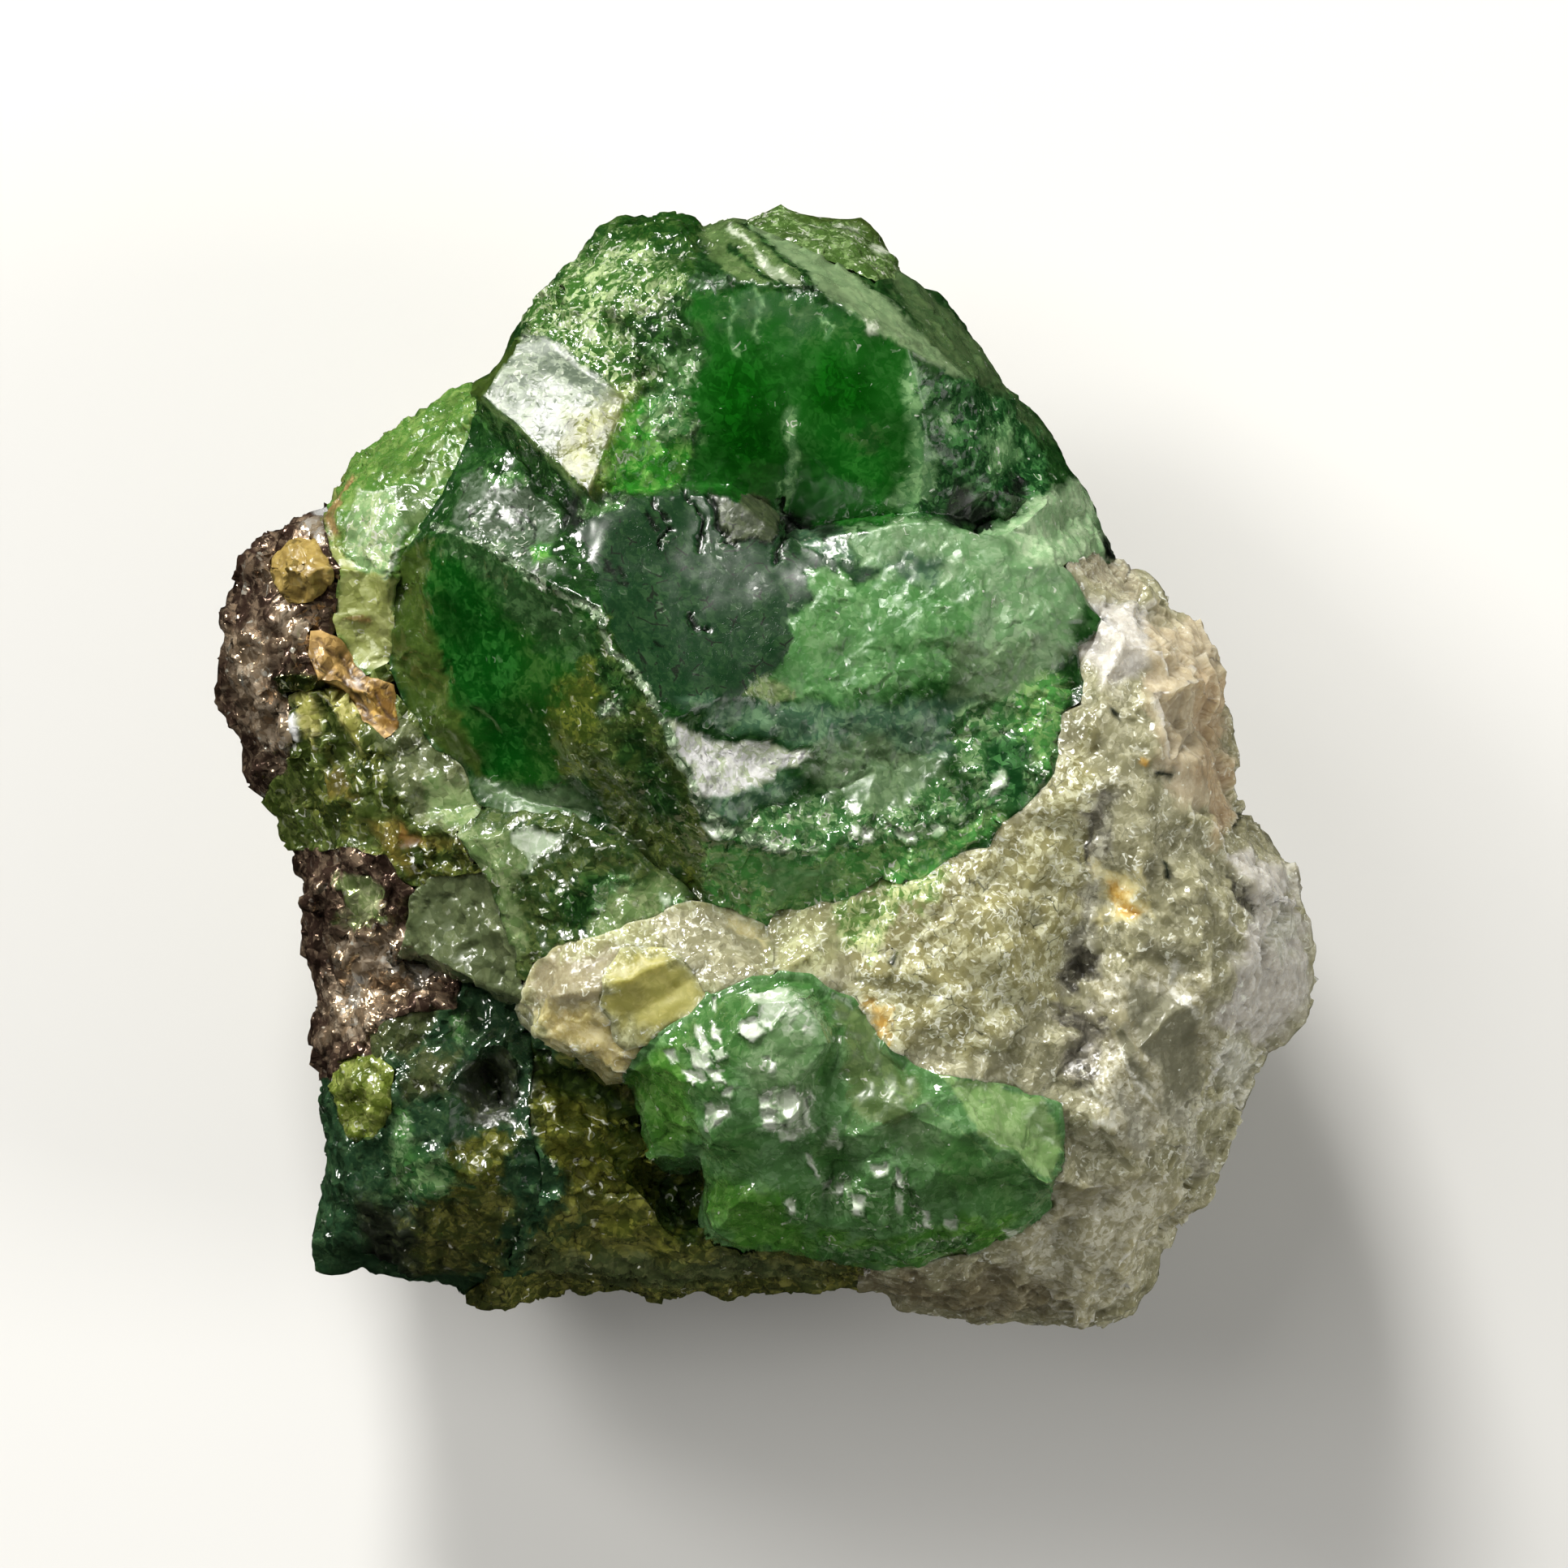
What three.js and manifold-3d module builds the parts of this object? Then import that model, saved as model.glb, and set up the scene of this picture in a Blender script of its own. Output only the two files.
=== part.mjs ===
// Rough tsavorite garnet on its matrix: a hand specimen that lies on its broken back, with the green face up.
// A stone of grey quartz carries two large tsavorite crystals, smaller garnet grains, cream and golden
// grains, graphite schist and a weathered skin of host rock. Units are millimetres, +Z is up, and the origin
// is the middle of the specimen's box, on the surface that it rests on.

import * as THREE from "three";
import { mergeVertices } from "three/addons/utils/BufferGeometryUtils.js";
import Module from "manifold-3d";

const wasm = await Module();
wasm.setup();

// Driving dimensions.
// Places on the face are surveyed on a square grid, x to the right and y down, in steps of 1 / GRID mm.
// A place is [x, y] or [x, y, height above the resting surface in mm].
const GRID = 43;
const MIDDLE = [946, 948.5];
const GAP = 0.2; // between a grain and the rock beside it
const FLOOR_GAP = 0.5; // between a grain's lower end and the rock below it
const STEP = 30; // longest stretch of a surveyed edge with no point on it, in grid steps
const SKY = 30; // a height above everything, for the grains' cutters

// Heights of the lower body, as shares of the height of the girdle above them.
const WAIST = { share: 0.5, scale: 0.985, rough: 0.35 };
const FOOT = { share: 0, scale: 0.93, rough: 0.5 };

// The girdle: the widest line of the stone, clockwise from the top left.
const GIRDLE = [
  [718, 300, 8.6], [722, 285, 8.6], [735, 270, 8.8], [760, 258, 9.0], [790, 254, 9.0], [812, 252, 9.0],
  [830, 251, 9.0], [850, 258, 9.0], [866, 272, 9.4], [878, 265, 9.2], [902, 256, 8.8], [920, 260, 8.4],
  [940, 248, 8.0], [960, 242, 8.0], [982, 247, 8.0], [1000, 252, 8.2], [1020, 258, 8.0], [1040, 260, 8.0],
  [1055, 262, 8.0], [1070, 275, 8.2], [1085, 288, 8.2], [1100, 302, 8.4], [1112, 328, 8.6],
  [1126, 338, 8.8], [1140, 349, 9.0], [1160, 368, 9.2], [1176, 386, 9.4], [1190, 400, 9.4],
  [1205, 415, 9.4], [1220, 438, 9.4], [1240, 462, 9.2], [1262, 486, 9.0], [1276, 500, 9.0],
  [1290, 515, 9.0], [1305, 545, 9.0], [1320, 575, 9.0], [1336, 590, 9.0], [1346, 615, 9.0],
  [1358, 640, 9.0], [1372, 670, 9.0], [1378, 698, 9.0], [1392, 712, 9.2], [1415, 716, 9.4],
  [1435, 735, 9.4], [1455, 749, 9.2], [1472, 753, 9.0], [1490, 765, 8.6], [1503, 782, 8.4],
  [1508, 802, 8.4], [1507, 824, 8.4], [1508, 848, 8.4], [1513, 880, 8.4], [1517, 905, 8.4],
  [1520, 930, 8.4], [1528, 968, 8.4], [1540, 1000, 8.4], [1548, 1025, 8.4], [1560, 1045, 8.4],
  [1576, 1054, 8.2], [1592, 1065, 8.0], [1605, 1090, 7.8], [1618, 1120, 7.6], [1625, 1140, 7.4],
  [1628, 1162, 7.2], [1632, 1192, 7.2], [1627, 1215, 7.2], [1618, 1245, 7.2], [1600, 1270, 7.2],
  [1585, 1281, 7.4], [1570, 1290, 7.4], [1558, 1312, 7.4], [1546, 1342, 7.4], [1534, 1366, 7.4],
  [1520, 1390, 7.4], [1502, 1420, 7.4], [1496, 1448, 7.4], [1494, 1474, 7.2], [1484, 1492, 7.0],
  [1470, 1510, 7.0], [1454, 1526, 7.0], [1438, 1542, 6.8], [1431, 1560, 6.6], [1430, 1582, 6.4],
  [1416, 1606, 6.2], [1400, 1630, 6.0], [1385, 1641, 5.8], [1368, 1649, 5.8], [1350, 1655, 5.6],
  [1325, 1652, 5.6], [1300, 1650, 5.6], [1275, 1648, 5.6], [1250, 1648, 5.6], [1225, 1649, 5.6],
  [1198, 1647, 5.8], [1172, 1638, 5.8], [1150, 1630, 6.0], [1125, 1620, 6.2], [1100, 1610, 6.4],
  [1080, 1600, 6.6], [1060, 1592, 6.8], [1030, 1593, 6.8], [1000, 1595, 6.8], [970, 1599, 6.8],
  [940, 1603, 6.8], [910, 1607, 6.6], [880, 1610, 6.6], [845, 1614, 6.4], [805, 1618, 6.4],
  [778, 1610, 6.4], [750, 1600, 6.4], [720, 1595, 6.6], [700, 1597, 6.6], [680, 1602, 6.4],
  [660, 1615, 6.2], [640, 1628, 6.0], [620, 1634, 6.0], [600, 1629, 6.0], [585, 1616, 6.2],
  [570, 1606, 6.2], [540, 1600, 6.2], [500, 1596, 6.4], [475, 1593, 6.4], [450, 1590, 6.6],
  [425, 1585, 6.6], [400, 1580, 6.8], [384, 1571, 6.8], [381, 1545, 7.0], [382, 1518, 7.2],
  [385, 1492, 7.4], [388, 1466, 7.6], [389, 1440, 7.8], [388, 1410, 7.8], [386, 1380, 8.0],
  [385, 1350, 8.0], [383, 1318, 8.0], [380, 1285, 8.0], [378, 1250, 8.0], [375, 1218, 8.0],
  [372, 1185, 8.0], [369, 1152, 8.0], [364, 1122, 8.0], [358, 1090, 8.0], [350, 1060, 8.0],
  [341, 1034, 8.0], [331, 1008, 8.0], [320, 982, 8.0], [308, 954, 8.0], [296, 926, 8.0], [285, 900, 8.0],
  [274, 875, 8.0], [265, 850, 8.0], [261, 826, 8.0], [260, 800, 8.2], [262, 772, 8.2], [270, 742, 8.4],
  [276, 720, 8.4], [281, 698, 8.4], [290, 675, 8.4], [305, 656, 8.6], [328, 646, 8.8], [350, 640, 9.0],
  [370, 630, 9.0], [385, 619, 9.0], [398, 611, 9.0], [402, 597, 8.8], [412, 585, 8.8], [430, 569, 8.6],
  [445, 551, 8.6], [470, 536, 8.6], [486, 524, 8.6], [500, 511, 8.6], [520, 500, 8.6], [545, 484, 8.8],
  [574, 470, 9.0], [595, 450, 9.0], [612, 434, 9.0], [625, 411, 9.0], [640, 390, 8.8], [660, 360, 8.6],
  [680, 335, 8.6], [700, 313, 8.6],
];

// Edges of the face: crests, facet rims, ledges with their feet, and valleys.
const EDGES = {
  lobeCrest: [[740, 300, 11.0], [790, 285, 12.0], [836, 282, 12.6], [856, 305, 13.4], [852, 350, 15.1]],
  lobeShoulder: [[760, 275, 10.4], [800, 266, 10.8], [840, 266, 11.0], [862, 284, 11.4]],
  troughSide: [[871, 282, 11.2], [885, 315, 13.2], [915, 346, 15.2]],
  stripUpper: [[888, 276, 11.2], [930, 318, 13.8], [968, 356, 15.5]],
  stripLower: [[906, 268, 11.2], [958, 318, 14.3], [1000, 354, 15.8], [1066, 402, 16.2],
    [1118, 432, 15.9], [1190, 470, 14.6]],
  paleBandOuter: [[926, 270, 10.4], [1012, 310, 13.0], [1060, 347, 14.1], [1102, 386, 14.6],
    [1150, 424, 14.5], [1190, 470, 14.6]],
  oliveCrest: [[960, 262, 9.8], [1010, 282, 11.2], [1062, 302, 11.4], [1092, 328, 11.6]],
  darkShoulder: [[1118, 350, 11.2], [1160, 396, 11.9], [1204, 440, 12.0], [1240, 486, 11.8],
    [1284, 540, 11.2], [1306, 580, 11.0]],
  windowTop: [[852, 350, 15.1], [915, 346, 15.3], [968, 356, 15.5], [1000, 354, 15.8]],
  windowRight: [[1118, 432, 15.9], [1136, 500, 15.6], [1138, 570, 15.2], [1132, 632, 14.7]],
  windowLeft: [[852, 350, 15.1], [846, 420, 15.15], [846, 500, 15.1], [852, 596, 14.4]],
  windowMiddle: [[980, 440, 15.55], [985, 540, 15.3]],
  rightFaceFoot: [[1200, 500, 14.2], [1214, 560, 14.0], [1230, 620, 13.6]],
  ledgeFoot: [[852, 596, 14.4], [900, 596, 14.3], [955, 632, 13.6], [985, 655, 13.2], [1050, 642, 13.9],
    [1132, 632, 14.7], [1172, 634, 14.2], [1204, 648, 13.1], [1236, 640, 13.2], [1286, 604, 12.8]],
  ledgeLip: [[850, 612, 15.4], [900, 612, 15.5], [950, 650, 15.6], [985, 671, 15.5], [1050, 656, 15.5],
    [1130, 646, 15.5], [1172, 650, 15.3], [1204, 664, 15.0], [1242, 656, 14.6], [1292, 616, 13.6]],
  mirrorTop: [[644, 402, 13.0], [768, 494, 14.9]],
  mirrorRight: [[768, 494, 14.9], [728, 608, 16.5]],
  mirrorBottom: [[728, 608, 16.5], [600, 490, 14.3]],
  mirrorLeft: [[600, 490, 14.3], [644, 402, 13.0]],
  mirrorEdge: [[590, 508, 13.4], [640, 572, 14.4], [704, 640, 15.6], [722, 650, 16.2]],
  mirrorBack: [[612, 456, 11.8], [634, 412, 11.4], [662, 380, 11.2]],
  sparkleCrest: [[690, 345, 11.2], [730, 322, 11.6], [790, 330, 13.2], [852, 350, 15.1]],
  sparkleFoot: [[700, 380, 12.9], [760, 380, 13.9], [820, 400, 14.7], [846, 420, 15.15]],
  sparkleRib: [[768, 494, 14.9], [800, 480, 14.3], [846, 486, 15.1]],
  greenPocket: [[742, 598, 15.8], [790, 606, 15.2], [836, 594, 14.6]],
  leftCrest: [[524, 662, 14.0], [548, 654, 14.8], [600, 676, 15.9], [656, 708, 17.0], [700, 728, 17.7],
    [740, 752, 18.2]],
  longCrest: [[740, 752, 18.2], [770, 806, 18.5], [800, 860, 18.7], [830, 922, 18.6], [862, 992, 17.9],
    [884, 1032, 17.3]],
  greyPane: [[566, 592, 13.9], [590, 604, 14.6], [650, 600, 15.4], [690, 640, 16.0], [704, 700, 17.0]],
  notch: [[722, 650, 15.9], [716, 690, 16.6], [728, 726, 17.6]],
  centreTop: [[742, 640, 16.6], [790, 622, 16.2], [850, 612, 15.4]],
  centreRim: [[1076, 706, 15.8], [1000, 706, 16.2], [976, 740, 16.5], [966, 800, 16.8], [920, 842, 17.3],
    [852, 880, 18.2]],
  greenPatchTop: [[1076, 706, 15.8], [1180, 692, 15.6], [1300, 700, 14.6]],
  shellTop: [[836, 884, 18.5], [880, 896, 17.6], [960, 904, 16.9], [1006, 934, 16.7]],
  shellBottom: [[856, 962, 18.0], [900, 980, 17.4], [950, 968, 16.9], [1006, 934, 16.7]],
  shellFloor: [[880, 930, 17.4], [930, 936, 16.9]],
  patchFoot: [[966, 872, 16.8], [1060, 866, 16.4], [1140, 856, 16.0], [1230, 846, 15.5], [1318, 846, 14.8]],
  scoop: [[930, 1004, 16.8], [1010, 984, 16.3], [1080, 950, 15.9], [1150, 930, 15.6], [1210, 900, 15.3]],
  lowerCrest: [[884, 1032, 17.3], [950, 1050, 17.0], [1050, 1038, 16.5], [1120, 1024, 16.15],
    [1180, 996, 15.85], [1226, 950, 15.55], [1262, 880, 15.2]],
  garnetFoot: [[866, 1096, 15.3], [900, 1112, 15.3], [940, 1132, 15.3], [1000, 1114, 15.6],
    [1050, 1102, 15.7], [1110, 1086, 15.75], [1200, 1052, 15.6], [1262, 1000, 15.4], [1294, 948, 15.3],
    [1312, 890, 15.1], [1330, 834, 14.9], [1344, 770, 14.5]],
  brownFace: [[760, 1018, 14.6], [800, 1040, 14.8], [832, 1082, 15.0], [866, 1096, 15.2]],
  paneFoot: [[524, 662, 14.0], [524, 740, 13.8], [538, 820, 13.6], [566, 890, 13.5], [602, 960, 13.5],
    [650, 984, 13.9], [700, 1000, 14.3], [760, 1018, 14.6]],
  oliveStrip: [[486, 704, 12.9], [484, 800, 12.5], [512, 872, 12.5], [566, 942, 12.9], [590, 990, 13.2]],
  marginCrest: [[1300, 650, 12.9], [1330, 690, 13.0], [1352, 720, 13.2]],
  rimCrest: [[420, 620, 11.6], [450, 590, 11.8], [500, 560, 12.3], [550, 520, 12.6], [578, 500, 12.9]],
  rimShoulder: [[425, 590, 10.4], [458, 560, 10.4], [505, 528, 10.5], [560, 490, 10.7]],
  rimFoot: [[566, 552, 13.0], [540, 610, 13.4], [500, 668, 13.3], [486, 704, 12.9]],
  rimPane: [[430, 650, 12.4], [470, 602, 12.8], [494, 634, 13.3], [474, 706, 13.2], [446, 700, 12.6]],
  rimTail: [[424, 740, 12.2], [470, 740, 12.8], [468, 806, 12.4], [436, 800, 12.0]],
  creamTop: [[664, 1180, 14.9], [712, 1158, 15.2], [780, 1150, 15.6], [850, 1122, 15.6],
    [898, 1124, 15.4], [936, 1146, 15.2]],
  creamRidge: [[680, 1230, 15.7], [750, 1214, 16.3], [830, 1180, 16.3], [900, 1176, 16.0]],
  creamLip: [[648, 1232, 14.4], [660, 1262, 14.7], [704, 1290, 15.0], [735, 1308, 15.1],
    [758, 1318, 15.2], [776, 1312, 15.2]],
  creamFoot: [[636, 1246, 12.0], [652, 1276, 11.9], [696, 1306, 11.8], [728, 1324, 11.7],
    [756, 1336, 11.6], [782, 1352, 11.4]],
  greyGrainLip: [[508, 1160, 12.6], [556, 1192, 13.2], [600, 1212, 13.5], [644, 1228, 13.8]],
  greyGrainFoot: [[504, 1178, 11.2], [550, 1210, 11.5], [594, 1230, 11.6], [636, 1246, 12.0]],
  wedgeCrest: [[576, 1030, 14.2], [604, 1082, 14.4], [626, 1130, 14.4], [642, 1186, 14.2],
    [648, 1232, 14.4]],
  wedgeTop: [[576, 1030, 14.2], [620, 1018, 14.6], [696, 1026, 15.3], [760, 1046, 15.5], [830, 1092, 15.4]],
  wedgeFace: [[652, 1060, 15.0], [664, 1110, 15.0], [660, 1160, 14.7]],
  streakCrest: [[392, 860, 12.7], [440, 900, 13.0], [480, 990, 13.1], [530, 1040, 13.2], [590, 1086, 13.8]],
  streakValley: [[360, 940, 11.4], [400, 1000, 11.7], [430, 1060, 12.0]],
  graphiteStep: [[344, 840, 12.5], [400, 836, 12.7], [430, 846, 12.7]],
  graphiteStepFoot: [[348, 852, 11.7], [400, 850, 11.8], [428, 858, 12.0]],
  lowerGraphiteCrest: [[446, 1062, 12.5], [500, 1104, 12.8], [516, 1150, 12.6], [528, 1196, 12.3]],
  lowerGraphiteHollow: [[452, 1216, 11.2], [486, 1222, 10.9], [508, 1228, 11.0]],
  palePaneTop: [[462, 1268, 12.1], [500, 1240, 12.4], [548, 1240, 12.4]],
  palePaneFoot: [[440, 1312, 11.8], [500, 1296, 12.3], [540, 1264, 12.5]],
  darkPaneRim: [[622, 1290, 12.4], [636, 1330, 12.3], [632, 1368, 12.1], [580, 1378, 12.3]],
  darkPaneFloor: [[596, 1316, 11.4], [616, 1350, 11.0]],
  cornerFold: [[560, 1250, 12.3], [596, 1290, 12.2], [560, 1350, 12.7], [540, 1420, 12.8],
    [600, 1462, 12.4]],
  yellowGreenCrest: [[432, 1340, 11.8], [470, 1336, 12.3], [452, 1386, 11.8]],
  lowerLeftSkirt: [[426, 1420, 10.6], [440, 1480, 10.6], [490, 1520, 10.8], [560, 1548, 10.4],
    [620, 1560, 10.0]],
  hostFold: [[650, 1350, 12.2], [700, 1400, 12.3], [760, 1440, 12.0], [800, 1500, 11.4],
    [850, 1540, 10.9], [930, 1556, 11.2]],
  hostStep: [[640, 1440, 12.3], [700, 1420, 11.6], [752, 1470, 11.0]],
  hostHollow: [[806, 1458, 10.0], [840, 1462, 9.8], [846, 1500, 9.8]],
  hostSkirt: [[650, 1540, 10.6], [720, 1560, 10.2], [800, 1580, 9.6], [900, 1580, 9.4], [1000, 1572, 9.8]],
  lowerRimLeft: [[796, 1352, 14.0], [800, 1392, 13.6], [810, 1424, 13.4], [860, 1430, 13.8],
    [878, 1462, 13.6], [872, 1496, 13.4], [882, 1522, 13.2], [916, 1534, 13.0]],
  lowerFootLeft: [[784, 1368, 11.4], [788, 1396, 11.0], [796, 1440, 10.8], [848, 1444, 10.4],
    [862, 1470, 10.2], [858, 1500, 10.2], [868, 1530, 10.6], [906, 1552, 11.0]],
  lowerRimBottom: [[916, 1534, 13.0], [980, 1530, 13.2], [1050, 1548, 13.0], [1130, 1542, 13.2],
    [1200, 1530, 13.2], [1256, 1506, 13.2], [1284, 1474, 13.4]],
  lowerFootBottom: [[906, 1552, 11.0], [980, 1556, 11.2], [1060, 1572, 11.0], [1140, 1566, 11.4],
    [1210, 1554, 11.6], [1264, 1526, 12.0], [1300, 1480, 12.6]],
  lowerRimTop: [[790, 1316, 15.2], [812, 1286, 15.8], [856, 1242, 16.2], [896, 1226, 16.4],
    [930, 1210, 16.6], [966, 1208, 16.6], [1006, 1216, 16.5]],
  domeFlat: [[930, 1226, 17.4], [1000, 1230, 17.5], [1012, 1290, 17.4], [990, 1336, 17.2],
    [930, 1330, 17.3], [908, 1280, 17.4], [930, 1226, 17.4]],
  domeSide: [[1006, 1216, 16.5], [1024, 1250, 16.4], [1030, 1300, 16.3], [1016, 1350, 16.4]],
  saddle: [[1050, 1246, 15.8], [1080, 1300, 16.0], [1050, 1350, 16.2]],
  paleFacetRim: [[1160, 1340, 15.9], [1210, 1392, 15.9], [1250, 1424, 15.6], [1292, 1456, 14.8]],
  paleFacetTop: [[1110, 1318, 15.8], [1160, 1340, 15.9], [1224, 1346, 15.2], [1290, 1362, 14.5]],
  greenPit: [[1004, 1424, 15.2], [1024, 1436, 14.9]],
  bottomSkirt: [[1050, 1584, 9.0], [1120, 1596, 9.2], [1200, 1612, 8.8], [1280, 1620, 8.6],
    [1350, 1620, 8.4]],
};

// Lone high and low points of the face.
const SPOTS = [
  [700, 470, 14.6], [690, 560, 15.6], [640, 640, 15.0], [750, 560, 15.5], [800, 540, 14.8],
  [780, 430, 14.2], [905, 420, 15.3], [905, 520, 15.1], [1050, 500, 15.8], [1060, 600, 14.9],
  [1150, 440, 14.6], [1180, 560, 14.7], [1250, 580, 12.6], [820, 700, 16.4], [880, 760, 16.9],
  [900, 680, 16.0], [800, 770, 17.5], [1100, 780, 16.4], [1200, 760, 15.9], [1280, 780, 15.2],
  [1040, 760, 16.4], [1040, 700, 15.9], [1000, 940, 16.6], [1060, 1000, 16.6], [1000, 1084, 16.1],
  [1100, 1064, 15.9], [1190, 1030, 15.7], [1270, 960, 15.4], [600, 780, 15.0], [640, 860, 15.3],
  [680, 780, 16.5], [720, 920, 16.4], [790, 960, 16.8], [600, 900, 13.9], [700, 960, 14.9],
  [820, 1030, 16.0], [500, 760, 13.0], [520, 850, 12.8], [1280, 660, 13.8], [330, 700, 12.2],
  [300, 700, 10.4], [296, 770, 11.2], [360, 800, 12.6], [312, 850, 11.4], [350, 900, 11.8],
  [330, 930, 10.6], [290, 820, 10.4], [380, 700, 12.8], [400, 650, 11.4], [352, 668, 11.4],
  [350, 700, 13.1], [372, 712, 13.1], [400, 770, 12.4], [450, 850, 12.9], [470, 880, 12.8],
  [540, 960, 13.0], [520, 1000, 12.9], [400, 960, 12.0], [380, 1010, 10.8], [380, 1090, 10.6],
  [420, 1110, 11.8], [470, 1140, 12.3], [430, 1180, 11.5], [410, 1250, 10.4], [440, 1270, 11.4],
  [480, 1190, 11.9], [540, 1110, 13.0], [590, 1100, 13.7], [590, 1170, 13.4], [540, 1160, 12.9],
  [700, 1090, 15.3], [760, 1100, 15.3], [720, 1140, 15.0], [800, 1120, 15.3], [700, 1260, 15.2],
  [800, 1240, 15.9], [850, 1200, 16.0], [520, 1310, 12.4], [500, 1360, 12.4], [470, 1440, 11.4],
  [520, 1480, 11.8], [580, 1520, 11.0], [660, 1300, 11.9], [740, 1380, 11.8], [720, 1500, 11.2],
  [680, 1480, 11.9], [410, 1360, 9.8], [404, 1460, 9.2], [410, 1530, 8.6], [500, 1560, 9.2],
  [620, 1600, 8.0], [760, 1580, 8.4], [900, 1596, 7.8], [870, 1290, 17.1], [880, 1340, 16.9],
  [840, 1330, 16.2], [970, 1376, 17.1], [900, 1400, 16.2], [850, 1390, 15.4], [940, 1440, 15.6],
  [900, 1490, 14.8], [970, 1490, 15.0], [1060, 1400, 16.3], [1120, 1370, 16.4], [1160, 1400, 16.0],
  [1070, 1470, 15.6], [1140, 1460, 15.4], [1210, 1450, 15.3], [1100, 1510, 14.6], [1190, 1500, 14.5],
  [1260, 1400, 15.1], [1020, 1510, 14.2], [980, 1140, 15.9], [990, 1180, 16.3], [1030, 1200, 16.0],
  [1060, 1140, 15.7], [1120, 1130, 15.9], [1110, 1190, 16.1], [1180, 1150, 16.1], [1170, 1220, 16.2],
  [1240, 1120, 15.8], [1250, 1200, 15.7], [1130, 1270, 15.9], [1200, 1290, 15.5], [1270, 1280, 14.8],
  [1280, 1050, 15.5], [1330, 980, 15.7], [1350, 880, 15.6], [1380, 790, 15.1], [1430, 800, 14.6],
  [1400, 740, 12.8], [1440, 900, 15.3], [1490, 840, 12.8], [1480, 940, 14.2], [1490, 1010, 14.0],
  [1410, 990, 15.7], [1400, 1060, 15.4], [1326, 1050, 14.8], [1346, 1110, 14.3], [1330, 1180, 13.8],
  [1306, 1214, 14.0], [1390, 1130, 14.9], [1460, 1110, 15.0], [1540, 1070, 12.6], [1520, 1110, 13.4],
  [1590, 1110, 10.6], [1560, 1180, 12.8], [1600, 1200, 9.8], [1490, 1190, 14.4], [1550, 1250, 11.6],
  [1400, 1190, 14.6], [1440, 1260, 14.5], [1380, 1280, 14.4], [1500, 1300, 12.4], [1330, 1290, 13.9],
  [1360, 1370, 14.5], [1320, 1400, 13.6], [1420, 1350, 13.8], [1480, 1380, 11.6], [1400, 1440, 13.0],
  [1460, 1460, 10.6], [1340, 1480, 12.8], [1400, 1530, 11.2], [1320, 1540, 11.6], [1390, 1590, 9.4],
  [1320, 1590, 10.2], [1240, 1580, 10.4], [1160, 1590, 10.2],
];

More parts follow.
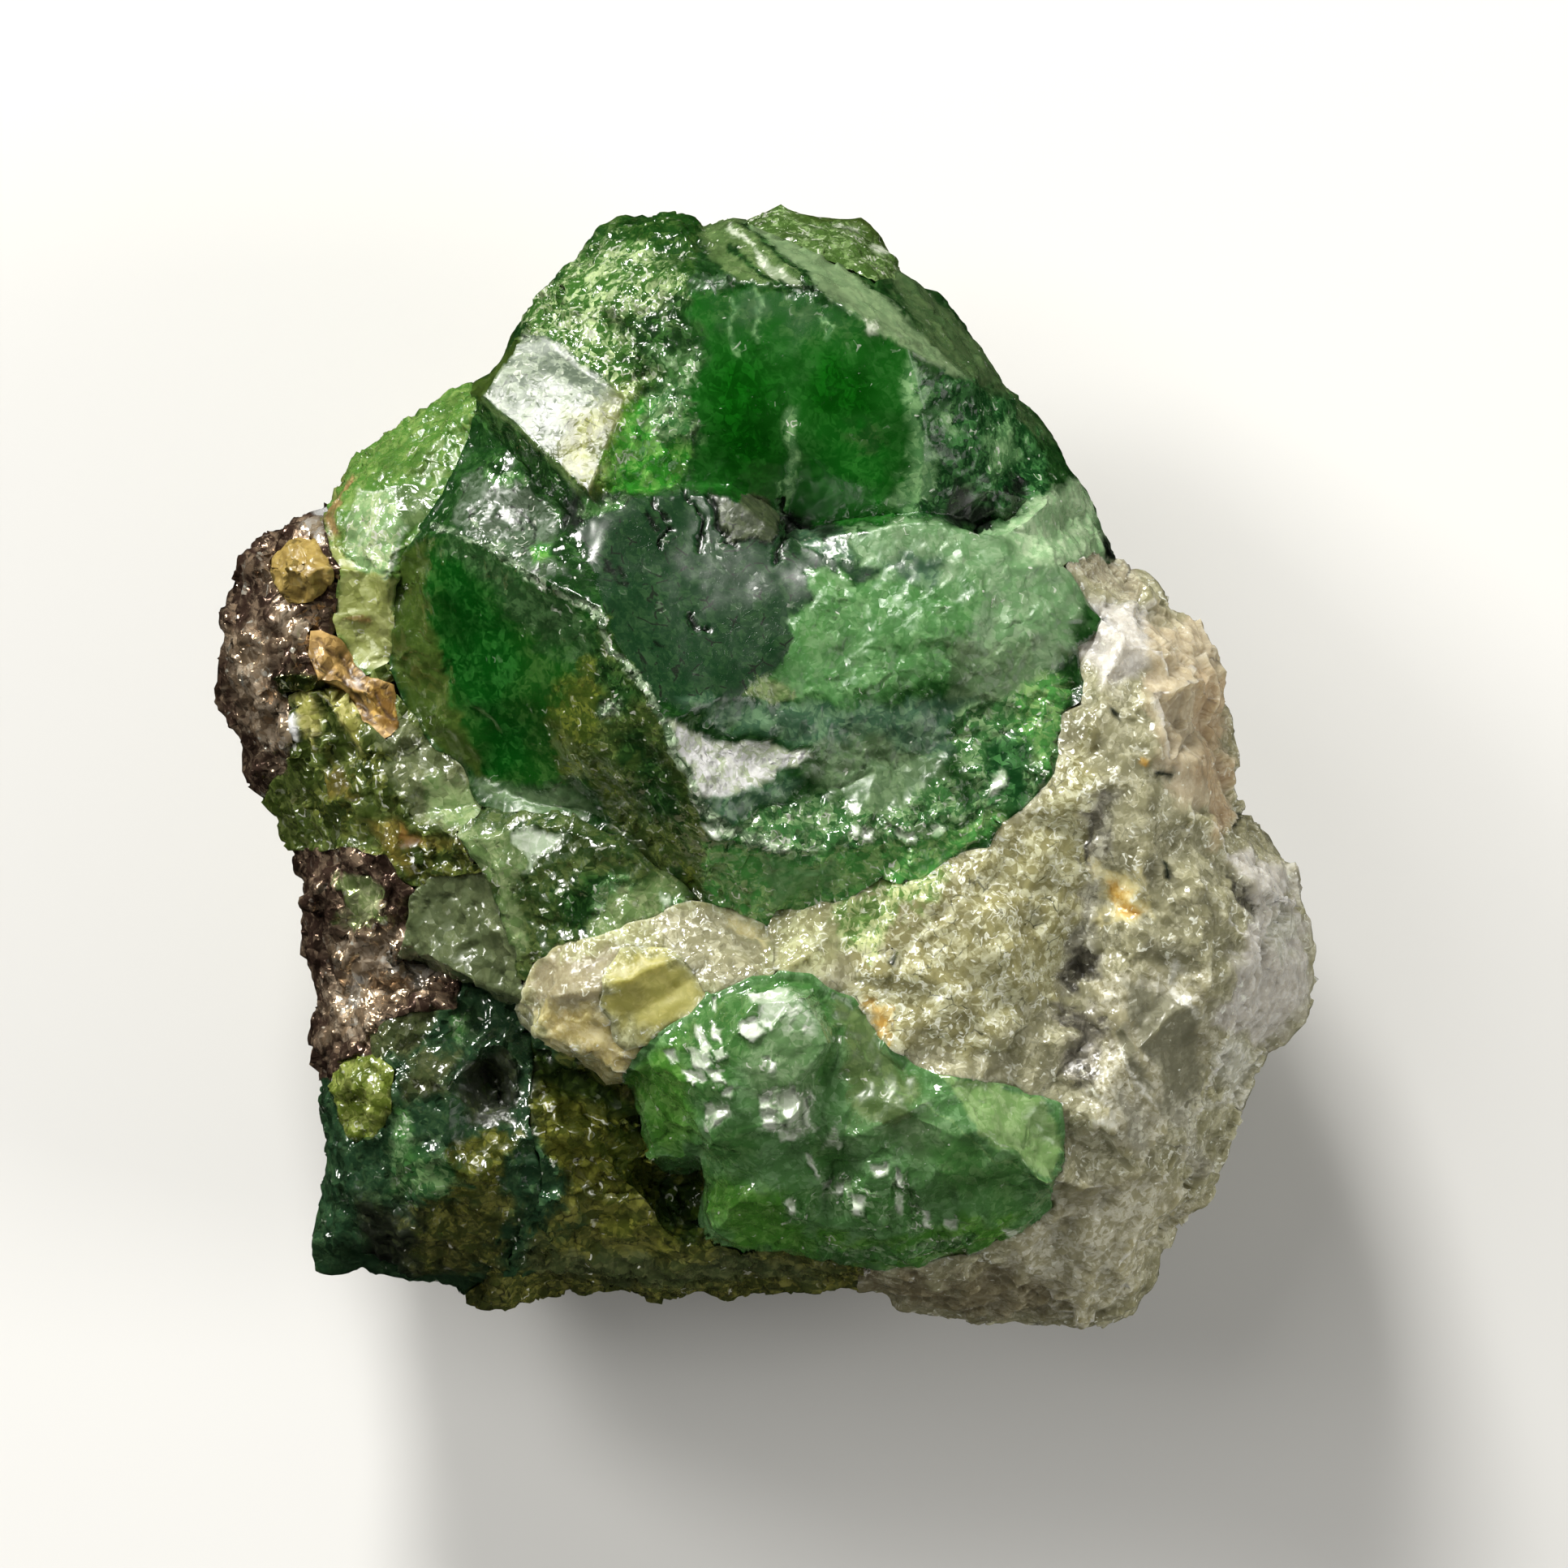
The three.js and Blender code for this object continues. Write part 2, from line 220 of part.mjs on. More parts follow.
// Each grain: its outline from above, the height down to which it is straight-sided, the height of its lower
// end, and how far that end narrows.
// A grain takes what the ones before it leave, so an outline may run on under an earlier grain or past the
// girdle.
const GRAINS = {
  ochre_grain: { brim: 11.9, floor: 11.0, taper: 0.8, colour: 0xb08a45, rough: 0,
    outline: [[326, 690], [334, 668], [352, 660], [382, 666], [396, 690], [400, 714], [386, 736],
      [352, 738], [334, 716]] },
  rusty_flake: { brim: 11.6, floor: 10.8, taper: 0.8, colour: 0x8f6233, rough: 0,
    outline: [[390, 786], [416, 800], [450, 834], [482, 850], [482, 886], [472, 902], [450, 882],
      [430, 852], [398, 832], [386, 810]] },
  golden_grain: { brim: 15.0, floor: 13.6, taper: 0.75, colour: 0x9c8a3a, rough: 0,
    outline: [[752, 1206], [772, 1174], [822, 1166], [852, 1194], [864, 1222], [844, 1246], [800, 1280],
      [764, 1272], [750, 1240]] },
  yellow_green_grain: { brim: 10.8, floor: 8.8, taper: 0.8, colour: 0x8d9a45, rough: 0,
    outline: [[414, 1334], [440, 1310], [470, 1312], [486, 1330], [478, 1372], [462, 1396], [438, 1412],
      [420, 1386]] },
  lower_tsavorite: { brim: 9.8, floor: 7.6, taper: 0.8, colour: 0x2f7a3a, rough: 0.06,
    outline: [[776, 1318], [800, 1286], [850, 1236], [890, 1220], [926, 1203], [962, 1199], [1002, 1207],
      [1024, 1222],
      [1048, 1238], [1076, 1290], [1110, 1308], [1152, 1330], [1200, 1336], [1280, 1350], [1302, 1362],
      [1309, 1400],
      [1305, 1440], [1294, 1462], [1292, 1488], [1260, 1516], [1206, 1544], [1140, 1556], [1070, 1564],
      [980, 1546],
      [914, 1546], [876, 1532], [862, 1512], [862, 1488], [872, 1462], [862, 1438], [820, 1438],
      [800, 1428], [790, 1390], [782, 1344]] },
  cream_quartz_grain: { brim: 12.8, floor: 12.2, taper: 0.85, colour: 0xb3a98c, rough: 0.12,
    outline: [[644, 1244], [656, 1190], [700, 1162], [772, 1150], [850, 1114], [900, 1116], [940, 1140],
      [948, 1190],
      [960, 1230], [880, 1300], [790, 1330], [756, 1326], [700, 1298], [654, 1270]] },
  rim_tsavorite: { brim: 8.2, floor: 6.4, taper: 0.9, colour: 0x7fb056, rough: 0.14,
    outline: [[574, 470], [580, 502], [566, 545], [548, 590], [520, 642], [500, 668], [482, 704],
      [476, 724], [476, 800],
      [468, 816], [448, 826], [420, 792], [411, 750], [419, 700], [402, 652], [396, 612], [330, 540],
      [420, 420], [540, 400]] },
  olive_grain: { brim: 7.6, floor: 6.6, taper: 0.9, colour: 0x6d7f3f, rough: 0.15,
    outline: [[924, 266], [900, 180], [1080, 180], [1200, 300], [1112, 330], [1078, 342], [1012, 308]] },
  wedge_tsavorite: { brim: 13.2, floor: 10.6, taper: 0.85, colour: 0x4c7a4a, rough: 0.08,
    outline: [[566, 1026], [600, 996], [650, 1004], [700, 1014], [760, 1034], [830, 1088], [870, 1118],
      [850, 1122],
      [774, 1156], [702, 1166], [658, 1194], [650, 1240], [640, 1184], [622, 1132], [600, 1082]] },
  main_tsavorite: { brim: 7.9, floor: 5.4, taper: 0.86, colour: 0x1f5c2a, rough: 0,
    outline: [[575, 470], [400, 200], [800, -250], [1500, -50], [1800, 500], [1382, 698], [1348, 674],
      [1306, 698],
      [1346, 762], [1318, 792], [1332, 832], [1326, 868], [1304, 886], [1300, 930], [1282, 966],
      [1252, 996], [1234, 1012], [1214, 1046], [1160, 1062], [1108, 1086], [1078, 1080],
      [1046, 1104], [990, 1122], [958, 1112], [940, 1136], [868, 1118], [828, 1086],
      [760, 1026], [700, 1010], [640, 1000],
      [600, 988], [560, 934], [502, 866], [478, 806], [474, 722], [480, 702], [500, 666], [560, 560]] },
  grey_green_grain: { brim: 10.8, floor: 9.6, taper: 0.85, colour: 0x6f7f68, rough: 0.05,
    outline: [[504, 1168], [510, 1112], [530, 1084], [600, 1080], [626, 1130], [644, 1186], [652, 1236],
      [640, 1236],
      [598, 1221], [554, 1201]] },
  lower_graphite: { brim: 7.7, floor: 5.0, taper: 0.85, colour: 0x4a3c40, rough: 0.22,
    outline: [[300, 1050], [380, 1056], [440, 1046], [474, 1060], [500, 1096], [530, 1120], [536, 1150],
      [560, 1206],
      [550, 1240], [500, 1242], [458, 1268], [452, 1310], [420, 1334], [300, 1340], [220, 1200]] },
  upper_graphite: { brim: 7.6, floor: 3.4, taper: 0.88, colour: 0x4d4244, rough: 0.24,
    outline: [[398, 612], [402, 652], [419, 700], [411, 750], [424, 800], [404, 842], [350, 846],
      [352, 930],
      [310, 990], [200, 980], [160, 760], [260, 560]] },
  diopside_patch: { brim: 9.0, floor: 6.0, taper: 0.86, colour: 0x5f6a40, rough: 0.22,
    outline: [[340, 842], [470, 800], [504, 868], [560, 934], [602, 990], [568, 1030], [604, 1084],
      [510, 1090],
      [474, 1062], [440, 1048], [380, 1058], [280, 1040], [230, 940], [350, 920]] },
  lower_left_tsavorite: { brim: 6.3, floor: 3.8, taper: 0.86, colour: 0x2a4a34, rough: 0.14,
    outline: [[418, 1334], [456, 1266], [504, 1228], [540, 1200], [600, 1216], [646, 1240], [652, 1300],
      [646, 1400],
      [656, 1470], [622, 1562], [560, 1600], [380, 1700], [240, 1560], [260, 1340]] },
  weathered_host: { brim: 5.7, floor: 2.6, taper: 0.92, colour: 0x4b4a2c, rough: 0.26,
    outline: [[560, 1600], [622, 1562], [656, 1470], [646, 1400], [652, 1300], [640, 1230], [700, 1250],
      [800, 1330],
      [900, 1400], [1060, 1500], [1070, 1560], [1056, 1584], [1060, 1760], [380, 1800], [300, 1640]] },
};
const MATRIX_LOOK = { colour: 0x9a9488, rough: 0.3 };

// Flat breaks from the girdle down to the back: heading in degrees, and lean from upright in degrees.
const BREAKS = [
  [8, 40], [31, 34], [57, 44], [79, 36], [101, 46], [124, 38], [149, 42], [171, 46], [196, 36], [221, 42],
  [246, 34], [268, 44], [290, 36], [313, 42], [338, 34],
];

// A repeatable number between 0 and 1 for a place.
function hash(x, y, seed = 0) {
  const wave = Math.sin(x * 12.9898 + y * 78.233 + seed * 37.719) * 43758.5453;
  return wave - Math.floor(wave);
}

const signed = (x, y, seed) => 2 * hash(x, y, seed) - 1;
const apart = (a, b) => Math.hypot(a[0] - b[0], a[1] - b[1]);
const toPart = ([x, y, z]) => [(x - MIDDLE[0]) / GRID, (MIDDLE[1] - y) / GRID, z];

// Whether a place lies inside a ring of places.
function inside(ring, [x, y]) {
  let odd = false;
  for (let i = 0, j = ring.length - 1; i < ring.length; j = i, i += 1) {
    const [xi, yi] = ring[i];
    const [xj, yj] = ring[j];
    if (yi > y !== yj > y && x < ((xj - xi) * (y - yi)) / (yj - yi) + xi) odd = !odd;
  }
  return odd;
}

// The points of an edge, with more between them where they are over STEP apart.
function sampled(edge) {
  const points = [edge[0]];
  for (let i = 1; i < edge.length; i += 1) {
    const [from, to] = [edge[i - 1], edge[i]];
    const parts = Math.ceil(apart(from, to) / STEP);
    for (let k = 1; k <= parts; k += 1) {
      points.push(from.map((value, axis) => value + ((to[axis] - value) * k) / parts));
    }
  }
  return points;
}

// Delaunay triangles of places, as triples of indices, by adding one place at a time.
function triangulate(places) {
  const far = 1e5;
  const count = places.length;
  const all = [...places, [-far, -far], [3 * far, -far], [-far, 3 * far]];
  const triangle = (a, b, c) => {
    const [ax, ay] = all[a];
    const [bx, by] = [all[b][0] - ax, all[b][1] - ay];
    const [cx, cy] = [all[c][0] - ax, all[c][1] - ay];
    const twice = 2 * (bx * cy - by * cx);
    const x = (cy * (bx * bx + by * by) - by * (cx * cx + cy * cy)) / twice;
    const y = (bx * (cx * cx + cy * cy) - cx * (bx * bx + by * by)) / twice;
    return { corners: [a, b, c], x: x + ax, y: y + ay, reach: x * x + y * y };
  };
  let triangles = [triangle(count, count + 1, count + 2)];
  places.forEach(([x, y], index) => {
    const rim = new Map();
    triangles = triangles.filter((t) => {
      if ((x - t.x) ** 2 + (y - t.y) ** 2 > t.reach) return true;
      for (let k = 0; k < 3; k += 1) {
        const side = [t.corners[k], t.corners[(k + 1) % 3]];
        const key = Math.min(...side) * 1e5 + Math.max(...side);
        if (rim.has(key)) rim.delete(key);
        else rim.set(key, side);
      }
      return false;
    });
    for (const [a, b] of rim.values()) triangles.push(triangle(a, b, index));
  });
  return triangles.map((t) => t.corners).filter((corners) => corners.every((corner) => corner < count));
}

// The height of a triangulated face at a place, or null outside it.
function heightAt(places, triangles, [x, y]) {
  for (const corners of triangles) {
    const [a, b, c] = corners.map((corner) => places[corner]);
    const whole = (b[0] - a[0]) * (c[1] - a[1]) - (c[0] - a[0]) * (b[1] - a[1]);
    const v = ((x - a[0]) * (c[1] - a[1]) - (c[0] - a[0]) * (y - a[1])) / whole;
    const w = ((b[0] - a[0]) * (y - a[1]) - (x - a[0]) * (b[1] - a[1])) / whole;
    if (v >= 0 && w >= 0 && v + w <= 1) return a[2] + v * (b[2] - a[2]) + w * (c[2] - a[2]);
  }
  return null;
}

// Adds a place to a list unless one of the list is nearer than clear.
function addApart(list, place, clear) {
  if (list.every((other) => apart(other, place) >= clear)) list.push(place);
}

// The roughness of the mineral at a place: the first grain that holds it, or the matrix.
function roughnessAt(place) {
  const grain = Object.values(GRAINS).find(({ outline }) => inside(outline, place));
  return (grain ?? MATRIX_LOOK).rough;
}

// The face: the girdle, the surveyed edges and spots, and small lumps and pits on the rough minerals.
function surveyFace() {
  const places = GIRDLE.map((place) => [...place]);
  for (const edge of Object.values(EDGES)) for (const place of sampled(edge)) addApart(places, place, 6);
  for (const place of SPOTS) addApart(places, place, 10);
  for (const place of places.slice(GIRDLE.length)) {
    place[0] += 0.4 * signed(place[0], place[1], 1);
    place[1] += 0.4 * signed(place[0], place[1], 2);
  }
  const coarse = triangulate(places);
  const smooth = places.slice();
  const pitch = 33;
  for (let row = 240; row < 1660; row += pitch) {
    for (let column = 250; column < 1640; column += pitch) {
      const place = [column + 11 * signed(column, row, 3), row + 11 * signed(column, row, 4)];
      const rough = roughnessAt(place);
      if (rough === 0 || !inside(GIRDLE, place)) continue;
      const height = heightAt(smooth, coarse, place);
      if (height !== null) addApart(places, [...place, height + rough * signed(column, row, 5)], 15);
    }
  }
  const triangles = triangulate(places).filter((corners) => {
    const [a, b, c] = corners.map((corner) => places[corner]);
    return inside(GIRDLE, [(a[0] + b[0] + c[0]) / 3, (a[1] + b[1] + c[1]) / 3]);
  });
  return { places, triangles };
}

// A closed solid from points and triangles in part coordinates.
function solid(points, triangles) {
  const geometry = new THREE.BufferGeometry();
  geometry.setAttribute("position", new THREE.Float32BufferAttribute(points.flat(), 3));
  geometry.setIndex(triangles.flat());
  return fromGeometry(geometry);
}

// A closed solid from a geometry that holds nothing but places and triangles.
function fromGeometry(geometry) {
  const merged = mergeVertices(geometry, 1e-4);
  const vertProperties = merged.attributes.position.array;
  const triVerts = new Uint32Array(merged.index.array);
  return new wasm.Manifold(new wasm.Mesh({ numProp: 3, vertProperties, triVerts }));
}

// Twice the signed area of a ring of part points seen from above: positive when it runs anticlockwise.
function turn(ring) {
  return ring.reduce((sum, [x, y], i) => {
    const [nx, ny] = ring[(i + 1) % ring.length];
    return sum + x * ny - nx * y;
  }, 0);
}

// The walls between rings of points that run anticlockwise, each below the one before it.
function walls(start, count, rings) {
  const triangles = [];
  for (let ring = 0; ring < rings - 1; ring += 1) {
    for (let i = 0; i < count; i += 1) {
      const [a, b] = [start + ring * count + i, start + ring * count + ((i + 1) % count)];
      triangles.push([a, a + count, b + count], [a, b + count, b]);
    }
  }
  return triangles;
}

// The triangles of a flat cap on a ring of part points.
function cap(ring, start, up) {
  const contour = ring.map(([x, y]) => new THREE.Vector2(x, y));
  return THREE.ShapeUtils.triangulateShape(contour, []).map(([a, b, c]) => {
    const upward = turn([ring[a], ring[b], ring[c]]) > 0;
    return (upward === up ? [a, b, c] : [a, c, b]).map((corner) => corner + start);
  });
}

// The stone as one solid: the face, sides that draw in to the back, and the flat breaks.
function stone() {
  const { places, triangles } = surveyFace();
  const count = GIRDLE.length;
  const face = places.map(toPart);
  const top = triangles.map(([a, b, c]) => (turn([face[a], face[b], face[c]]) > 0 ? [a, b, c] : [a, c, b]));
  const lower = [WAIST, FOOT].map(({ share, scale, rough }, level) =>
    face.slice(0, count).map(([x, y, z], i) => {
      const swell = (rough / 16) * signed(Math.floor(i / 5), level, 6);
      const wave = 1 + swell + (rough / 40) * signed(i, level, 7);
      return [x * scale * wave, y * scale * wave, z * share];
    }),
  );
  const girdle = [...Array(count).keys()].reverse();
  const ringPoints = [girdle.map((i) => face[i]), ...lower.map((ring) => girdle.map((i) => ring[i]))];
  const start = face.length;
  const points = [...face, ...ringPoints.flat()];
  const sides = walls(start, count, ringPoints.length);
  const back = cap(ringPoints.at(-1), start + 2 * count, false);
  const body = solid(points, [...top, ...sides, ...back]);
  return BREAKS.reduce((rest, place) => rest.subtract(breakBlock(place)), body);
}

// The block that a flat break takes away: it leaves the girdle whole.
function breakBlock([heading, lean]) {
  const size = 60;
  const [turned, leant] = [heading, lean].map(THREE.MathUtils.degToRad);
  const out = ([x, y, z]) => x * Math.cos(turned) + y * Math.sin(turned) - z * Math.tan(leant);
  const reach = Math.max(...GIRDLE.map(toPart).map(out));
  const geometry = new THREE.BoxGeometry(size, size, size).translate(size / 2, 0, 0);
  geometry.rotateY(leant).translate(reach, 0, 0).rotateZ(turned);
  geometry.deleteAttribute("normal");
  geometry.deleteAttribute("uv");
  return fromGeometry(geometry);
}

// A ring of part points moved outwards by a distance.
function grown(ring, distance) {
  const count = ring.length;
  return ring.map(([x, y, z], i) => {
    const [px, py] = ring[(i + count - 1) % count];
    const [nx, ny] = ring[(i + 1) % count];
    const before = new THREE.Vector2(y - py, px - x).normalize();
    const after = new THREE.Vector2(ny - y, x - nx).normalize();
    const out = before.clone().add(after).normalize();
    const reach = distance / Math.max(0.5, out.dot(after));
    return [x + out.x * reach, y + out.y * reach, z];
  });
}

// The tapered block that a grain fills, made larger by margins beside it and below it.
function grainBlock({ outline, brim, floor, taper }, margin, below) {
  let ring = outline.map(([x, y]) => toPart([x, y, SKY]));
  if (turn(ring) < 0) ring = ring.reverse();
  const middle = ring.reduce(([mx, my], [x, y]) => [mx + x / ring.length, my + y / ring.length], [0, 0]);
  const drop = (x, y) => floor + 0.5 * signed(Math.round(x), Math.round(y), 8);
  const drawn = (value, axis) => middle[axis] + (value - middle[axis]) * taper;
  const low = ring.map(([x, y]) => [drawn(x, 0), drawn(y, 1), drop(x, y) - below]);
  const middleRing = ring.map(([x, y]) => [x, y, brim]);
  const rings = [ring, middleRing, low].map((points) => grown(points, margin));
  const count = ring.length;
  return solid(rings.flat(), [...walls(0, count, 3), ...cap(ring, 0, true), ...cap(low, 2 * count, false)]);
}

// The largest body of a solid.
function largest(made) {
  return made.decompose().sort((a, b) => b.volume() - a.volume())[0];
}

// A named mesh from a solid.
function mesh(name, made, colour, roughness) {
  const { vertProperties, triVerts } = made.getMesh();
  const geometry = new THREE.BufferGeometry();
  geometry.setAttribute("position", new THREE.BufferAttribute(vertProperties, 3));
  geometry.setIndex(new THREE.BufferAttribute(triVerts, 1));
  geometry.computeVertexNormals();
  const look = { color: colour, roughness, metalness: 0, flatShading: true };
  const material = new THREE.MeshStandardMaterial(look);
  const piece = new THREE.Mesh(geometry, material);
  piece.name = name;
  return piece;
}

// Shares the stone out among its grains, and what they leave is the matrix.
function specimen() {
  const group = new THREE.Group();
  let rest = stone();
  for (const [name, grain] of Object.entries(GRAINS)) {
    group.add(mesh(name, largest(rest.intersect(grainBlock(grain, 0, 0))), grain.colour, 0.3));
    rest = rest.subtract(grainBlock(grain, GAP, FLOOR_GAP));
  }
  group.add(mesh("quartz_matrix", largest(rest), MATRIX_LOOK.colour, 0.6));
  const box = new THREE.Box3().setFromObject(group);
  group.position.set(-(box.min.x + box.max.x) / 2, -(box.min.y + box.max.y) / 2, -box.min.z);
  return group;
}

export default specimen();
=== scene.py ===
"""Rough tsavorite garnet on quartz matrix: the looks of the hand specimen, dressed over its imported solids."""

import logging
import math
from collections.abc import Callable
from dataclasses import dataclass, field
from enum import Enum

import bpy
import numpy as np
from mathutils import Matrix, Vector
from mathutils.bvhtree import BVHTree


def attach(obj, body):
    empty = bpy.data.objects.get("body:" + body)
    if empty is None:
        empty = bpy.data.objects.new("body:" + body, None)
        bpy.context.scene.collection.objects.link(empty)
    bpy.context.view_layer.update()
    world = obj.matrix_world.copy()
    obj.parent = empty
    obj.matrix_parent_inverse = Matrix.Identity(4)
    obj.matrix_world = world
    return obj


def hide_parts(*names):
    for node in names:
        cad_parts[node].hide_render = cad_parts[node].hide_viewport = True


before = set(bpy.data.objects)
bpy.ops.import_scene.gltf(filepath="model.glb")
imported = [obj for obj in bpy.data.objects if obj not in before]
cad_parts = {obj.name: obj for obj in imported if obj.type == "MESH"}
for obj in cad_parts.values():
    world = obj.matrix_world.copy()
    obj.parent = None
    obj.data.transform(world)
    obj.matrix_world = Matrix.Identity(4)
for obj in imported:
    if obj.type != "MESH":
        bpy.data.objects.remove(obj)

LOG = logging.getLogger("specimen")

# The survey grid of the face: steps per mm, its middle and the width of the view. Then a millimetre in metres.
GRID = 43.0
MIDDLE = (946.0, 948.5)
VIEW = 1932
MM = 0.001

# The tilt and heading in degrees of the faces that mirror the key light, and the light on the left.
KEY_FACE = (29.8, 106.0)
LEFT_FACE = (29.5, 147.0)

# The most that a place moves to lie on such a face, in mm.
FLAT_REACH = 0.12

# How far a finish's border wanders on the sides, in grid steps, and the heights in mm between which that ends.
SWAY = 44.0
SWAY_ENDS = (4.0, 9.0)

# The height and width in mm of the tongues in which the finishes of the face end on the sides.
TONGUES = (1.6, 2.6)

# A place or a face lower than this stands on the floor, in mm.
FOOT = 0.01

# The rounds of smoothing that the areas without creases get on top.
CALM_ROUNDS = 60

# How far the surface is pulled out of line, in mm: as a rule, and on the faces named next.
DRIFT = 0.2
CLEAN_DRIFT = 0.045

# The part of the face where the large crystal's own faces run straight, in grid steps.
CLEAN_FACES = (
    500, 660, 640, 390, 720, 240, 960, 240, 1300, 500, 1290, 620, 1060, 700, 860, 900, 640, 960,
)

# The edge of the golden grain. In each outline, across and down take turns.
GOLDEN_EDGE = (
    762, 1174, 812, 1164, 850, 1190, 864, 1222, 838, 1256, 796, 1272, 768, 1256, 756, 1210,
)

Colour = tuple[int, int, int]
Outline = tuple[float, ...]
Triple = tuple[float, float, float]
Source = bpy.types.NodeSocket | float | tuple[float, ...]
Wanted = Callable[[np.ndarray, np.ndarray, np.ndarray], np.ndarray]


def linear(colour: Colour) -> np.ndarray:
    """Turns a display colour into scene-linear values.

    Args:
        colour: red, green and blue from 0 to 255.

    Returns:
        Three linear values from 0 to 1.
    """
    share = np.array(colour, dtype=float) / 255.0
    return np.where(share <= 0.04045, share / 12.92, ((share + 0.055) / 1.055) ** 2.4)


def smoothstep(low: float, high: float, value: np.ndarray) -> np.ndarray:
    """Eases values from 0 at low to 1 at high.

    Args:
        low: where the result leaves 0.
        high: where the result reaches 1.
        value: the values to ease.

    Returns:
        The eased values.
    """
    t = np.clip((value - low) / (high - low), 0.0, 1.0)
    return t * t * (3.0 - 2.0 * t)


def on_grid(places: np.ndarray) -> np.ndarray:
    """Turns places in mm into places on the survey grid.

    Args:
        places: the places, three to a row.

    Returns:
        Two values for each place.
    """
    return np.stack([places[:, 0] * GRID + MIDDLE[0], MIDDLE[1] - places[:, 1] * GRID], axis=1)


class Fracture:
    """Repeatable noise for broken stone, measured in millimetres."""

    @staticmethod
    def scatter(cell: np.ndarray, seed: int) -> np.ndarray:
        """Gives each whole-number cell a number from 0 to 1.

        Args:
            cell: an array of whole numbers, three to a row.
            seed: a different scatter for each seed.

        Returns:
            One number for each row.
        """
        c = cell.astype(np.int64).astype(np.uint32)
        h = c[:, 0] * np.uint32(374761393) + c[:, 1] * np.uint32(668265263)
        h = h + c[:, 2] * np.uint32(2246822519) + np.uint32((seed * 3266489917) % 4294967296)
        h = (h ^ (h >> np.uint32(13))) * np.uint32(1274126177)
        h = (h ^ (h >> np.uint32(15))) * np.uint32(2654435761)
        return (h ^ (h >> np.uint32(16))).astype(np.float64) / 4294967295.0

    @classmethod
    def swell(cls, points: np.ndarray, size: float, seed: int) -> np.ndarray:
        """Smooth noise from -1 to 1.

        Args:
            points: places in mm, three to a row.
            size: the distance between swells in mm.
            seed: a different noise for each seed.

        Returns:
            One value for each place.
        """
        p = points / size
        base = np.floor(p)
        f = p - base
        f = f * f * (3.0 - 2.0 * f)
        total = np.zeros(len(points))
        for corner in range(8):
            bits = np.array([corner & 1, (corner >> 1) & 1, corner >> 2])
            weight = np.prod(np.where(bits == 1, f, 1.0 - f), axis=1)
            total += weight * cls.scatter(base + bits, seed)
        return 2.0 * total - 1.0

    @classmethod
    def rough(cls, points: np.ndarray, size: float, octaves: int, seed: int) -> np.ndarray:
        """Noise with finer noise upon it, about -1 to 1.

        Args:
            points: places in mm, three to a row.
            size: the size of the largest swells in mm.
            octaves: how many finer layers there are.
            seed: a different noise for each seed.

        Returns:
            One value for each place.
        """
        total = np.zeros(len(points))
        for octave in range(octaves):
            total += cls.swell(points, size / 2**octave, seed + octave) / 2**octave
        return total

    @classmethod
    def facets(cls, points: np.ndarray, size: float, seed: int) -> np.ndarray:
        """Small tilted planes, as on sugary quartz or a stepped break, about -1 to 1.

        Args:
            points: places in mm, three to a row.
            size: the width of a plane in mm.
            seed: a different pattern for each seed.

        Returns:
            The height of the planes at each place.
        """
        p = points / size
        base = np.floor(p)
        nearest = np.full(len(points), 1e9)
        height = np.zeros(len(points))
        for step in range(27):
            cell = base + np.array([step % 3 - 1, (step // 3) % 3 - 1, step // 9 - 1])
            heart = cell + np.stack([cls.scatter(cell, seed + k) for k in range(3)], axis=1)
            away = p - heart
            distance = np.einsum("ij,ij->i", away, away)
            closer = distance < nearest
            nearest = np.where(closer, distance, nearest)
            tilt = np.stack([cls.scatter(cell, seed + k) for k in range(3, 6)], axis=1) * 2.0 - 1.0
            plane = np.einsum("ij,ij->i", away, tilt) + 0.4 * (cls.scatter(cell, seed + 6) - 0.5)
            height = np.where(closer, plane, height)
        return height


@dataclass(frozen=True)
class Finish:
    """How one kind of surface looks: colours, gloss, marks and the height of its fine relief in mm."""

    FACETS = 11  # the places of the two heights in a row
    LUMPS = 12

    body: Colour
    fleck: Colour
    share: float = 0.4  # how much of the surface the flecks take
    gloss: float = 0.25  # roughness
    frost: float = 0.3  # strength of the finest relief
    # The bright specks and strokes are painted glints, partly pale inclusions.
    sparks: float = 0.0  # how many bright specks
    cracks: float = 0.0  # how many dark hairlines
    facets: float = 0.0  # height of small tilted planes
    lumps: float = 0.0  # height of smooth lumps

    def row(self) -> np.ndarray:
        """The finish as one row of numbers: the colours, how many marks, the gloss and the heights."""
        rest = [self.share, self.sparks, self.cracks, self.gloss, self.frost, self.facets, self.lumps]
        return np.concatenate([linear(self.body), linear(self.fleck), rest])


